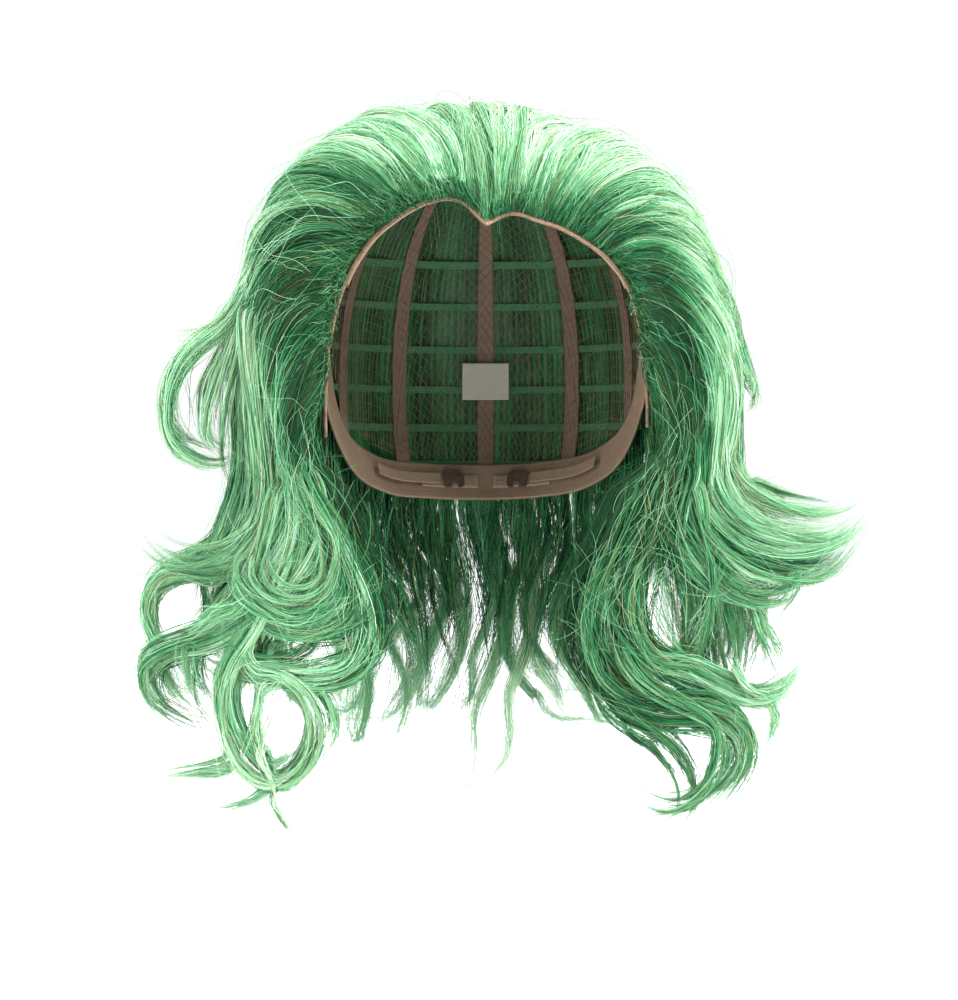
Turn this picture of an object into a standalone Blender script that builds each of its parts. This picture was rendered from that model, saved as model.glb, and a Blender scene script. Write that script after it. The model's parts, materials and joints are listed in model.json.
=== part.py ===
"""Costume wig: a wefted stretch cap with ear tabs, nape adjusters and sewn rows, and the hair it carries.

Metres, +Z up, the face opening looks along -Y and the wearer's left side is +X.
The origin is the middle of the flat inside face at the top of the cap, where it rests on a head.
"""

import math

import bmesh
import bpy
import numpy as np
from mathutils import Vector

# ---------------------------------------------------------------- driving dimensions
HEAD_HALF_WIDTH = 0.0745  # half the head's breadth inside the cap
HEAD_HALF_LENGTH = 0.0940  # half its length, forehead to occiput
HEAD_RISE = 0.1000  # head centre to the top of the head
HEAD_DROP = 0.0880  # lower half's vertical radius, which draws the nape in
HEAD_Y = 0.0060  # the head centre sits this far behind the origin
N_VERT = 2.3  # superellipse power of the profile
N_PLAN = 2.2  # and of the plan
POLE_U = 0.10  # where the flat crown disc starts

NET_IN, NET_OUT = 0.0011, 0.0021  # the stretch net, as offsets from the head
BAND_OUT = 0.0025  # bands and tabs are a little thicker
RIBBON_IN, RIBBON_OUT = 0.0031, 0.0037
WEFT_IN, WEFT_OUT = 0.0041, 0.0055
WEFT_HEIGHT = 0.0032
GAP = 0.0004  # sewing gap between pieces
HAIR_IN = 0.0066  # the hair's inner face over the cap

SIDE_SEAM_Z = -0.0720  # hair below this swings on the side joints
BACK_SEAM_Z = -0.1000  # and below this on the back joint
SIDE_HINGE_X = 0.1220
BACK_HINGE_Y = 0.1440
TAB_TOP_Z = -0.0850
HOOK_THETA = 169.0  # where an adjuster hook rests, in degrees round from the forehead

# hem of the cap: degrees round from the forehead, height
HEM = [
    (0, -0.0370), (9, -0.0285), (20, -0.0275), (34, -0.0340), (47, -0.0470), (56, -0.0680),
    (61, -0.0900), (66, -0.1130), (71, -0.1240), (78, -0.1240), (84, -0.1130), (88, -0.1060), (100, -0.1020),
    (112, -0.1180), (126, -0.1400), (142, -0.1500), (162, -0.1530), (180, -0.1535),
]


def sgn_pow(v, p):
    return np.sign(v) * np.abs(v) ** p


HEAD_Z = -(HEAD_RISE * math.cos(POLE_U) ** (2 / N_VERT) + NET_IN)


def head(theta, u):
    """A point of the head: theta degrees round from the forehead, u radians down from the crown."""
    t = np.radians(theta)
    rho = np.abs(np.sin(u)) ** (2 / N_VERT)
    h = sgn_pow(np.cos(u), 2 / N_VERT)
    rise = np.where(h >= 0, HEAD_RISE, HEAD_DROP)
    r = (np.abs(np.sin(t) / HEAD_HALF_WIDTH) ** N_PLAN + np.abs(np.cos(t) / HEAD_HALF_LENGTH) ** N_PLAN) ** (-1 / N_PLAN)
    return np.stack([np.sin(t) * r * rho, HEAD_Y - np.cos(t) * r * rho, HEAD_Z + rise * h], axis=-1)


def surf(theta, u, d):
    """head() moved outward by d along the surface's normal."""
    theta, u, d = np.broadcast_arrays(np.asarray(theta, float), np.asarray(u, float), np.asarray(d, float))
    e = 1e-3
    du = head(theta, u + e) - head(theta, u - e)
    dt = head(theta + 0.05, u) - head(theta - 0.05, u)
    n = np.cross(du, dt)
    n /= np.linalg.norm(n, axis=-1, keepdims=True)
    p = head(theta, u)
    out = p - np.array([0.0, HEAD_Y, HEAD_Z])
    n *= np.sign((n * out).sum(-1, keepdims=True))
    return p + n * d[..., None]


def u_of_z(z):
    k = (np.asarray(z, float) - HEAD_Z) / np.where(np.asarray(z, float) >= HEAD_Z, HEAD_RISE, HEAD_DROP)
    c = np.clip(np.abs(k), 0, 1) ** (N_VERT / 2)
    return np.where(k >= 0, np.arccos(c), math.pi - np.arccos(c))


def smooth_keys(keys, x):
    """Catmull-Rom through (position, value) keys."""
    xs = np.array([k[0] for k in keys], float)
    ys = np.array([k[1] for k in keys], float)
    m = np.gradient(ys, xs)
    x = np.clip(np.asarray(x, float), xs[0], xs[-1])
    i = np.clip(np.searchsorted(xs, x, side="right") - 1, 0, len(xs) - 2)
    w = xs[i + 1] - xs[i]
    t = (x - xs[i]) / w
    return (
        (2 * t**3 - 3 * t**2 + 1) * ys[i] + (t**3 - 2 * t**2 + t) * w * m[i]
        + (3 * t**2 - 2 * t**3) * ys[i + 1] + (t**3 - t**2) * w * m[i + 1]
    )


def hem_z(theta):
    a = np.abs((np.asarray(theta, float) + 180) % 360 - 180)
    return smooth_keys(HEM, a)


def hem_u(theta):
    return u_of_z(hem_z(theta))


# ---------------------------------------------------------------- materials
def material(name, colour, roughness, metallic=0.0):
    m = bpy.data.materials.new(name)
    m.use_nodes = True
    b = m.node_tree.nodes["Principled BSDF"]
    b.inputs["Base Color"].default_value = (*colour, 1)
    b.inputs["Roughness"].default_value = roughness
    b.inputs["Metallic"].default_value = metallic
    m.diffuse_color = (*colour, 1)
    return m


for old in list(bpy.data.objects):
    bpy.data.objects.remove(old, do_unlink=True)

HAIR = (0.13, 0.43, 0.20)
PALETTE = {
    "net": ((0.46, 0.34, 0.24), 0.85),
    "lace": ((0.60, 0.47, 0.36), 0.80),
    "lining": ((0.70, 0.58, 0.47), 0.95),
    "elastic": ((0.50, 0.38, 0.28), 0.80),
    "ribbon": ((0.42, 0.31, 0.22), 0.80),
    "weft": ((0.07, 0.24, 0.11), 0.70),
    "stay": ((0.80, 0.80, 0.76), 0.35),
    "hook": ((0.16, 0.12, 0.09), 0.40),
    "tag": ((0.85, 0.84, 0.80), 0.75),
    "hair": (HAIR, 0.45),
}

EMPTIES = {}


def body(name, location):
    e = bpy.data.objects.new("body_" + name, None)
    e.empty_display_size = 0.01
    e.location = location
    bpy.context.scene.collection.objects.link(e)
    EMPTIES[name] = e
    return e


def add(name, verts, faces, look, on, smooth=True):
    """One closed piece, its origin at the joint of the body that carries it."""
    origin = np.array(EMPTIES[on].location)
    mesh = bpy.data.meshes.new(name)
    bm = bmesh.new()
    made = [bm.verts.new(Vector(v - origin)) for v in np.asarray(verts, float)]
    for f in faces:
        bm.faces.new([made[i] for i in f])
    bmesh.ops.recalc_face_normals(bm, faces=bm.faces[:])
    bmesh.ops.triangulate(bm, faces=bm.faces[:])
    bm.to_mesh(mesh)
    bm.free()
    colour, rough = PALETTE[look]
    mesh.materials.append(material(name, colour, rough))
    if smooth:
        mesh.shade_smooth()
        mesh.set_sharp_from_angle(angle=math.radians(40))
    obj = bpy.data.objects.new(name, mesh)
    bpy.context.scene.collection.objects.link(obj)
    obj.parent = EMPTIES[on]
    return obj


# ---------------------------------------------------------------- builders
def patch(name, theta0, theta1, u_top, u_bot, d_in, d_out, look, on="cap", step=6.0, rows=4):
    """A sewn panel over the head between two angles and two edges, from offset d_in to d_out.
    u_top and u_bot are functions of theta, and the offsets may be functions of (theta, s), s running 0 to 1 down the panel."""
    nt = max(2, int(math.ceil((theta1 - theta0) / step)) + 1)
    th = np.linspace(theta0, theta1, nt)
    s = np.linspace(0, 1, rows + 1)
    T, S = np.meshgrid(th, s, indexing="ij")
    U = u_top(T) * (1 - S) + u_bot(T) * S
    ins = surf(T, U, d_in(T, S) if callable(d_in) else d_in)
    out = surf(T, U, d_out(T, S) if callable(d_out) else d_out)
    n, m = nt, rows + 1
    verts = np.concatenate([ins.reshape(-1, 3), out.reshape(-1, 3)])

    def a(i, j):
        return i * m + j

    def b(i, j):
        return n * m + i * m + j

    faces = []
    for i in range(n - 1):
        for j in range(m - 1):
            faces.append((a(i, j), a(i + 1, j), a(i + 1, j + 1), a(i, j + 1)))
            faces.append((b(i, j), b(i, j + 1), b(i + 1, j + 1), b(i + 1, j)))
        faces.append((a(i, 0), b(i, 0), b(i + 1, 0), a(i + 1, 0)))
        faces.append((a(i, m - 1), a(i + 1, m - 1), b(i + 1, m - 1), b(i, m - 1)))
    for j in range(m - 1):
        faces.append((a(0, j), a(0, j + 1), b(0, j + 1), b(0, j)))
        faces.append((a(n - 1, j), b(n - 1, j), b(n - 1, j + 1), a(n - 1, j + 1)))
    return add(name, verts, faces, look, on)


def dome(name, u_bot, d_in, d_out, look, step=7.5, rows=6, flat=True):
    """A closed cap over the crown, with a flat disc at its top inside and outside."""
    nt = int(360 / step)
    th = np.arange(nt) * step - 180
    s = np.linspace(0, 1, rows + 1)
    T, S = np.meshgrid(th, s, indexing="ij")
    U = POLE_U * (1 - S) + u_bot(T) * S
    ins = surf(T, U, d_in(T, S) if callable(d_in) else d_in)
    out = surf(T, U, d_out(T, S) if callable(d_out) else d_out)
    ins[:, 0, 2] = ins[:, 0, 2].mean() if not flat else 0.0 + (ins[:, 0, 2].mean() if abs(ins[:, 0, 2].mean()) > 1e-3 else 0.0)
    out[:, 0, 2] = out[:, 0, 2].mean()
    m = rows + 1
    verts = np.concatenate([ins.reshape(-1, 3), out.reshape(-1, 3)])

    def a(i, j):
        return (i % nt) * m + j

    def b(i, j):
        return nt * m + (i % nt) * m + j

    faces = [tuple(a(i, 0) for i in range(nt)), tuple(b(i, 0) for i in reversed(range(nt)))]
    for i in range(nt):
        for j in range(m - 1):
            faces.append((a(i, j), a(i, j + 1), a(i + 1, j + 1), a(i + 1, j)))
            faces.append((b(i, j), b(i + 1, j), b(i + 1, j + 1), b(i, j + 1)))
        faces.append((a(i, m - 1), b(i, m - 1), b(i + 1, m - 1), a(i + 1, m - 1)))
    return add(name, verts, faces, look, "cap")


def loft(name, rings, look, on):
    """A closed solid through rings of equal count, with flat-filled ends."""
    k = len(rings[0])
    verts = np.concatenate([np.asarray(r, float) for r in rings])
    faces = [tuple(reversed(range(k))), tuple((len(rings) - 1) * k + i for i in range(k))]
    for r in range(len(rings) - 1):
        for i in range(k):
            j = (i + 1) % k
            faces.append((r * k + i, r * k + j, (r + 1) * k + j, (r + 1) * k + i))
    return add(name, verts, faces, look, on)


def curve_points(keys, count):
    """Catmull-Rom through rows of numbers, at even parameter steps."""
    k = np.asarray(keys, float)
    k = np.vstack([2 * k[0] - k[1], k, 2 * k[-1] - k[-2]])
    t = np.linspace(0, len(k) - 3 - 1e-9, count)
    i = t.astype(int)
    f = (t - i)[:, None]
    p0, p1, p2, p3 = k[i], k[i + 1], k[i + 2], k[i + 3]
    return 0.5 * (2 * p1 + (p2 - p0) * f + (2 * p0 - 5 * p1 + 4 * p2 - p3) * f**2 + (3 * p1 - p0 - 3 * p2 + p3) * f**3)


def sweep(name, keys, look, on, flat=1.0, sides=8, count=16):
    """A round-ended lock swept along keys of (x, y, z, radius). flat squeezes it along Y."""
    pts = curve_points(keys, count)
    p, r = pts[:, :3], np.maximum(pts[:, 3], 0.0008)
    tan = np.gradient(p, axis=0)
    tan /= np.linalg.norm(tan, axis=1, keepdims=True)
    side = np.cross(tan[0], [0.0, 1.0, 0.0])
    side /= np.linalg.norm(side)
    rings = []
    for i in range(count):
        side = side - tan[i] * (side @ tan[i])
        side /= np.linalg.norm(side)
        up = np.cross(tan[i], side)
        a = np.arange(sides) * 2 * math.pi / sides
        rings.append(p[i] + r[i] * (np.cos(a)[:, None] * side + flat * np.sin(a)[:, None] * up))
    return loft(name, rings, look, on)


def plan(theta, d):
    """A point of the head's widest outline, moved out by d."""
    p = surf(theta, math.pi / 2, d)
    return p[..., 0], p[..., 1]


def tress(name, levels, on, count=15, sides=14):
    """A hanging tress that follows the head's plan: rows of (z, inner offset, outer offset, first angle, last angle), with rounded edges."""
    rows = curve_points(levels, count)
    a = (np.arange(sides) + 0.5) * 2 * math.pi / sides
    c, q = sgn_pow(np.cos(a), 0.55), sgn_pow(np.sin(a), 0.55)
    rings = []
    for z, d0, d1, t0, t1 in rows:
        x, y = plan((t0 + t1) / 2 + (t1 - t0) / 2 * c, (d0 + d1) / 2 + (d1 - d0) / 2 * q)
        rings.append(np.stack([x, y, np.full(sides, z)], axis=-1))
    return loft(name, rings, "hair", on)


# ---------------------------------------------------------------- bodies, each empty on its joint's axis
def tab_pivot(side):
    p = surf(side * 73.5, u_of_z(TAB_TOP_Z + 0.0004), 0.5 * (NET_IN + BAND_OUT))
    return Vector(p)


def hook_pivot(side):
    return Vector(surf(side * HOOK_THETA, hem_u(HOOK_THETA) - 0.105, -0.0027))


body("cap", (0, 0, 0))
body("left_ear_tab", tab_pivot(-1))
body("right_ear_tab", tab_pivot(1))
body("left_adjuster", hook_pivot(-1))
body("right_adjuster", hook_pivot(1))
body("left_side_hair", (-SIDE_HINGE_X, 0.0, SIDE_SEAM_Z))
body("right_side_hair", (SIDE_HINGE_X, 0.0, SIDE_SEAM_Z))
body("back_hair", (0.0, BACK_HINGE_Y, BACK_SEAM_Z))


# ---------------------------------------------------------------- the cap
BAND_U = 0.20  # depth of the hairline band along the head, in radians


def crown_u(theta):
    """Lower edge of the crown net: behind the hairline band in front, a level line elsewhere."""
    a = np.abs((np.asarray(theta, float) + 180) % 360 - 180)
    level = u_of_z(-0.0500)
    front = hem_u(a) - BAND_U - 0.012
    return np.where(a < 61, np.minimum(front, level), level)


dome("crown_net", crown_u, NET_IN, NET_OUT, "net")
patch("hairline_band", -59.6, 59.6, lambda t: hem_u(t) - BAND_U, hem_u, NET_IN, BAND_OUT, "lace", step=4.0, rows=3)
patch("hairline_lining", -54.0, 54.0, lambda t: hem_u(t) - BAND_U + 0.03, lambda t: hem_u(t) - 0.02, -0.0002, 0.0005, "lining", step=6.0, rows=2)


def side_bottom(theta):
    a = np.abs(theta)
    return np.where(a < 88.5, u_of_z(TAB_TOP_Z + 0.0006), hem_u(a))


def net_top(theta):
    return crown_u(theta) + 0.006


def nape_top(theta):
    return hem_u(theta) - 0.215


for s, side in ((-1, "left"), (1, "right")):
    lo, hi = sorted((s * 60.2, s * 104.0))
    patch(f"{side}_side_net", lo, hi, net_top, side_bottom, NET_IN, NET_OUT, "net", step=4.9, rows=3)
    lo, hi = sorted((s * 61.6, s * 84.0))
    patch(f"{side}_ear_tab", lo, hi, lambda t: u_of_z(TAB_TOP_Z - 0.0008) + 0 * t, hem_u, NET_IN, BAND_OUT, "lace", on=f"{side}_ear_tab", step=2.8, rows=4)
    stay = [(*surf(s * (74.5 + 0.8 * k), u_of_z(TAB_TOP_Z - 0.004 - 0.0092 * k), BAND_OUT + 0.0013), 0.0007) for k in range(4)]
    sweep(f"{side}_ear_stay", stay, "stay", f"{side}_ear_tab", sides=6, count=9)

patch("back_net", 104.4, 255.6, net_top, lambda t: nape_top(t) - 0.006, NET_IN, NET_OUT, "net", step=6.3, rows=6)
patch("nape_band", 104.4, 255.6, nape_top, hem_u, NET_IN, BAND_OUT, "elastic", step=6.3, rows=2)

# elastic ribbons run down the back, and the rows are sewn across them
for k, centre in enumerate((128.0, 154.0, 180.0, 206.0, 232.0)):
    patch(f"cap_ribbon_{k + 1}", centre - 2.4, centre + 2.4, lambda t: u_of_z(-0.0120) + 0 * t, lambda t: hem_u(t) - 0.03, RIBBON_IN, RIBBON_OUT, "ribbon", step=5, rows=15)

ROWS = [(-0.1360, 118), (-0.1190, 112), (-0.1010, 104), (-0.0820, 92), (-0.0620, 80), (-0.0430, 68)]
for k, (z, start) in enumerate(ROWS):
    half = WEFT_HEIGHT / 2
    patch(
        f"weft_row_{k + 1}", start, 360 - start,
        lambda t, z=z: u_of_z(z + half) + 0 * t, lambda t, z=z: u_of_z(z - half) + 0 * t,
        WEFT_IN, WEFT_OUT, "weft", step=6.0, rows=1,
    )
for k, back in enumerate((0.075, 0.165)):
    patch(
        f"hairline_weft_{k + 1}", -57.0, 57.0,
        lambda t, b=back: hem_u(t) - b - 0.030, lambda t, b=back: hem_u(t) - b,
        BAND_OUT + 2 * GAP, BAND_OUT + 2 * GAP + 0.0014, "weft", step=4.0, rows=1,
    )


# ---------------------------------------------------------------- nape adjusters
def hook(name, side):
    """A flat J-shaped hook in the plane that touches the nape."""
    o = np.array(EMPTIES[f"{side_name(side)}_adjuster"].location)
    u = hem_u(HOOK_THETA) - 0.105
    along = surf(side * (HOOK_THETA + 1.5), u, 0.0) - surf(side * (HOOK_THETA - 1.5), u, 0.0)
    along /= np.linalg.norm(along)
    up = surf(side * HOOK_THETA, u - 0.02, 0.0) - surf(side * HOOK_THETA, u + 0.02, 0.0)
    up -= along * (up @ along)
    up /= np.linalg.norm(up)
    inward = surf(side * HOOK_THETA, u, -0.001) - surf(side * HOOK_THETA, u, 0.0)
    inward /= np.linalg.norm(inward)
    outline = [
        (-0.0045, -0.0045), (-0.0010, -0.0045), (-0.0010, -0.0015), (0.0020, -0.0015), (0.0020, -0.0045),
        (0.0042, -0.0045), (0.0052, -0.0030), (0.0052, 0.0022), (0.0030, 0.0045), (-0.0045, 0.0045),
    ]
    rings = [[o + along * a + up * b + inward * h for a, b in outline] for h in (-0.0006, 0.0006)]
    loft(name, rings, "hook", f"{side_name(side)}_adjuster")
    return along


def side_name(s):
    return "left" if s < 0 else "right"


for s in (-1, 1):
    name = side_name(s)
    slide = hook(f"{name}_adjuster_hook", s)
    lo, hi = sorted((s * 138.0, s * (HOOK_THETA - 4.6)))
    patch(
        f"{name}_adjuster_strap", lo, hi, lambda t: hem_u(t) - 0.105 - 0.034, lambda t: hem_u(t) - 0.105 + 0.034,
        -0.0031, -0.0023, "elastic", step=5.0, rows=1,
    )
    lo, hi = sorted((s * 158.0, s * 177.6))
    loops = lambda t, q: np.where(np.abs(((np.abs(t) - 158.0) % 4.9) - 2.45) < 0.9, -0.0011, -0.0004)
    patch(
        f"{name}_hook_loops", lo, hi, lambda t: hem_u(t) - 0.105 - 0.040, lambda t: hem_u(t) - 0.105 + 0.040,
        loops, 0.0004, "lining", step=1.23, rows=1,
    )

patch("size_tag", 173.0, 187.0, lambda t: u_of_z(-0.0880) + 0 * t, lambda t: u_of_z(-0.1060) + 0 * t, -0.0006, -0.0001, "tag", step=4, rows=2)


# ---------------------------------------------------------------- hair carried by the cap
# how far the hair stands off the head, by degrees round from the forehead (viewer's left is negative)
LOFT_KEYS = [(-180, 0.040), (-150, 0.042), (-120, 0.045), (-90, 0.047), (-62, 0.048), (-35, 0.047), (0, 0.032), (35, 0.040), (62, 0.041), (90, 0.041), (120, 0.041), (150, 0.041), (180, 0.040)]


def stand(theta, u):
    side = smooth_keys(LOFT_KEYS, (np.asarray(theta, float) + 180) % 360 - 180)
    k = np.clip((u - 0.15) / 0.75, 0, 1)
    k = k * k * (3 - 2 * k)
    return 0.0285 * (1 - k) + side * k


def swept(theta, u):
    """The roll behind the hairline: thin at the band's edge, full a few centimetres behind it."""
    back = np.clip((hem_u(theta) - u) / 0.42, 0, 1)
    k = np.sin(back * math.pi / 2) ** 0.8
    return HAIR_IN + 0.0030 + (stand(theta, u) - HAIR_IN - 0.0030) * k


TOP_U = 0.50
HEM_IN = 0.012  # the hair's own roots stay this far back of the hem, in radians


def hair_patch(name, t0, t1, top, bottom, outer, inner=HAIR_IN, step=7.0, rows=5):
    patch(name, t0, t1, top, bottom, inner, outer, "hair", step=step, rows=rows)


dome("crown_hair", lambda t: 0 * t + TOP_U, HAIR_IN, lambda t, q: stand(t, POLE_U + (TOP_U - POLE_U) * q), "hair", step=10.0, rows=3, flat=False)


def front_outer(t, q):
    top = TOP_U + 0.012
    return swept(t, top * (1 - q) + (hem_u(t) - HEM_IN) * q)


hair_patch("front_hair_left", -59.6, -0.4, lambda t: TOP_U + 0.012 + 0 * t, lambda t: hem_u(t) - HEM_IN, front_outer, step=6.0)
hair_patch("front_hair_right", 0.4, 59.6, lambda t: TOP_U + 0.012 + 0 * t, lambda t: hem_u(t) - HEM_IN, front_outer, step=6.0)


def full_outer(seam):
    def f(t, q):
        top = TOP_U + 0.012
        return stand(t, top * (1 - q) + u_of_z(seam) * q)
    return f


def seam_patch(name, t0, t1, seam):
    """Upper hair down to a level seam, above which it stays with the cap."""
    nt = max(2, int(math.ceil((t1 - t0) / 6.5)) + 1)
    th = np.linspace(t0, t1, nt)
    s = np.linspace(0, 1, 6)
    T, S = np.meshgrid(th, s, indexing="ij")
    U = (TOP_U + 0.012) * (1 - S) + u_of_z(seam) * S
    ins, out = surf(T, U, HAIR_IN), surf(T, U, stand(T, U))
    ins[:, -1, 2] = seam
    out[:, -1, 2] = seam
    m = 6
    verts = np.concatenate([ins.reshape(-1, 3), out.reshape(-1, 3)])
    a = lambda i, j: i * m + j
    b = lambda i, j: nt * m + i * m + j
    faces = []
    for i in range(nt - 1):
        for j in range(m - 1):
            faces.append((a(i, j), a(i + 1, j), a(i + 1, j + 1), a(i, j + 1)))
            faces.append((b(i, j), b(i, j + 1), b(i + 1, j + 1), b(i + 1, j)))
        faces.append((a(i, 0), b(i, 0), b(i + 1, 0), a(i + 1, 0)))
        faces.append((a(i, m - 1), a(i + 1, m - 1), b(i + 1, m - 1), b(i, m - 1)))
    for j in range(m - 1):
        faces.append((a(0, j), a(0, j + 1), b(0, j + 1), b(0, j)))
        faces.append((a(nt - 1, j), b(nt - 1, j), b(nt - 1, j + 1), a(nt - 1, j + 1)))
    return add(name, verts, faces, "hair", "cap")


seam_patch("upper_side_hair_left", -121.6, -60.2, SIDE_SEAM_Z + 0.0015)
seam_patch("upper_side_hair_right", 60.2, 121.6, SIDE_SEAM_Z + 0.0015)
seam_patch("upper_back_hair_left", -179.7, -122.2, BACK_SEAM_Z + 0.0020)
seam_patch("upper_back_hair_right", 122.2, 179.7, BACK_SEAM_Z + 0.0020)

# ---------------------------------------------------------------- hair that hangs and swings
# (z, inner offset, outer offset) down each curtain of hair. The neighbours share these, so the sewing gap between them stays even
LEFT_SIDE = [
    (-0.0745, 0.0150, 0.0462), (-0.0950, 0.0150, 0.0468), (-0.1150, 0.0148, 0.0452), (-0.1350, 0.0100, 0.0448), (-0.1600, 0.0010, 0.0470),
    (-0.1850, -0.0080, 0.0500), (-0.2100, -0.0130, 0.0500), (-0.2320, -0.0110, 0.0455), (-0.2500, -0.0030, 0.0390), (-0.2630, 0.0070, 0.0290), (-0.2680, 0.0140, 0.0210),
]
RIGHT_SIDE = [
    (-0.0745, 0.0150, 0.0440), (-0.0950, 0.0150, 0.0455), (-0.1150, 0.0148, 0.0430), (-0.1350, 0.0090, 0.0425), (-0.1600, -0.0020, 0.0460),
    (-0.1850, -0.0120, 0.0490), (-0.2100, -0.0170, 0.0480), (-0.2350, -0.0150, 0.0440), (-0.2540, -0.0060, 0.0370), (-0.2660, 0.0050, 0.0270), (-0.2710, 0.0110, 0.0190),
]
BACK = [
    (-0.1025, 0.0125, 0.0425), (-0.1200, 0.0125, 0.0440), (-0.1400, 0.0120, 0.0425), (-0.1650, 0.0060, 0.0430), (-0.1900, -0.0030, 0.0460),
    (-0.2150, -0.0070, 0.0460), (-0.2380, -0.0060, 0.0420), (-0.2560, 0.0000, 0.0360), (-0.2680, 0.0080, 0.0270), (-0.2730, 0.0130, 0.0200),
]


def curtain(name, rows, t0, t1, on, drop=0.0):
    """One tress of a curtain, drop longer than the rows say, narrowing towards its tips."""
    levels = []
    for i, (z, d0, d1) in enumerate(rows):
        late = max(0.0, (i - len(rows) + 4) / 3)
        narrow = 0.30 * late**2 * (t1 - t0)
        levels.append((z - drop * i / (len(rows) - 1), d0, d1, t0 + narrow, t1 - narrow))
    tress(name, levels, on)


curtain("side_hair_left_front", LEFT_SIDE, -91.0, -61.0, "left_side_hair")
curtain("side_hair_left_rear", LEFT_SIDE, -121.0, -91.6, "left_side_hair", 0.006)
curtain("side_hair_right_front", RIGHT_SIDE, 61.0, 91.0, "right_side_hair")
curtain("side_hair_right_rear", RIGHT_SIDE, 91.6, 121.0, "right_side_hair", 0.003)
curtain("back_hair_left", BACK, -161.0, -123.4, "back_hair")
curtain("back_hair_centre", BACK, 161.6, 198.4, "back_hair", 0.009)
curtain("back_hair_right", BACK, 123.4, 161.0, "back_hair", 0.004)

# curls: (x, y, z, radius) down each lock
CURLS = {
    "curl_left_temple": ("left_side_hair", [(-0.1285, 0.004, -0.0790, 0.0045), (-0.1385, 0.004, -0.0850, 0.0070), (-0.1435, 0.004, -0.1020, 0.0080), (-0.1430, 0.004, -0.1220, 0.0078), (-0.1370, 0.004, -0.1370, 0.0070), (-0.1270, 0.004, -0.1450, 0.0035)]),
    "curl_left_flick": ("left_side_hair", [(-0.1270, -0.020, -0.1600, 0.0040), (-0.1350, -0.022, -0.1700, 0.0062), (-0.1480, -0.024, -0.1755, 0.0045), (-0.1590, -0.026, -0.1690, 0.0012)]),
    "curl_left_upper_loop": ("left_side_hair", [(-0.1285, 0.022, -0.1830, 0.0035), (-0.1430, 0.024, -0.1870, 0.0055), (-0.1515, 0.026, -0.2030, 0.0060), (-0.1480, 0.028, -0.2260, 0.0058), (-0.1370, 0.030, -0.2420, 0.0050), (-0.1240, 0.031, -0.2500, 0.0030)]),
    "curl_left_lower_loop": ("left_side_hair", [(-0.1300, -0.010, -0.2080, 0.0030), (-0.1430, -0.012, -0.2150, 0.0052), (-0.1530, -0.013, -0.2300, 0.0058), (-0.1520, -0.013, -0.2440, 0.0055), (-0.1400, -0.012, -0.2560, 0.0050), (-0.1230, -0.010, -0.2620, 0.0035)]),
    "curl_left_hem": ("left_side_hair", [(-0.0950, -0.060, -0.2380, 0.0030), (-0.0790, -0.062, -0.2480, 0.0060), (-0.0740, -0.062, -0.2640, 0.0070), (-0.0830, -0.061, -0.2800, 0.0070), (-0.0980, -0.060, -0.2850, 0.0060), (-0.1120, -0.058, -0.2780, 0.0030)]),
    "curl_left_tail": ("left_side_hair", [(-0.1140, 0.024, -0.2700, 0.0030), (-0.1260, 0.024, -0.2790, 0.0045), (-0.1400, 0.024, -0.2830, 0.0032), (-0.1540, 0.024, -0.2810, 0.0010)]),
    "curl_right_flick": ("right_side_hair", [(0.1270, -0.008, -0.1460, 0.0050), (0.1370, -0.010, -0.1600, 0.0100), (0.1510, -0.012, -0.1710, 0.0092), (0.1640, -0.014, -0.1690, 0.0052), (0.1720, -0.015, -0.1590, 0.0012)]),
    "curl_right_inner": ("right_side_hair", [(0.1285, 0.020, -0.1840, 0.0035), (0.1385, 0.022, -0.1930, 0.0055), (0.1420, 0.024, -0.2060, 0.0052), (0.1330, 0.026, -0.2180, 0.0030)]),
    "curl_right_lower_flick": ("right_side_hair", [(0.1270, -0.022, -0.2280, 0.0035), (0.1350, -0.024, -0.2400, 0.0055), (0.1450, -0.026, -0.2370, 0.0032), (0.1510, -0.027, -0.2280, 0.0010)]),
    "curl_right_hem": ("right_side_hair", [(0.1180, -0.064, -0.2400, 0.0035), (0.1230, -0.064, -0.2600, 0.0070), (0.1130, -0.063, -0.2790, 0.0078), (0.0960, -0.061, -0.2910, 0.0062), (0.0800, -0.060, -0.2950, 0.0038), (0.0680, -0.059, -0.2890, 0.0012)]),
    "curl_right_tail": ("right_side_hair", [(0.0990, 0.018, -0.2750, 0.0030), (0.0970, 0.016, -0.2870, 0.0048), (0.0890, 0.014, -0.3000, 0.0036), (0.0790, 0.012, -0.3070, 0.0010)]),
}
for name, (on, keys) in CURLS.items():
    sweep(name, keys, "hair", on, count=13)

# the back's curls turn outward from the head: (distance out from the head's plan, height, radius)
for name, theta, low in (("curl_back_left", -142.0, 0.0), ("curl_back_centre", 180.0, 0.009), ("curl_back_right", 142.0, 0.004)):
    keys = [
        (*plan(theta, q), z - low, r)
        for q, z, r in ((0.016, -0.2800, 0.0055), (0.024, -0.2890, 0.0085), (0.038, -0.2920, 0.0078), (0.050, -0.2840, 0.0050), (0.055, -0.2740, 0.0015))
    ]
    sweep(name, keys, "hair", "back_hair", count=13)
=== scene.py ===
"""Costume wig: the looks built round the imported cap, its joints and its hair."""

import json
import math

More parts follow.
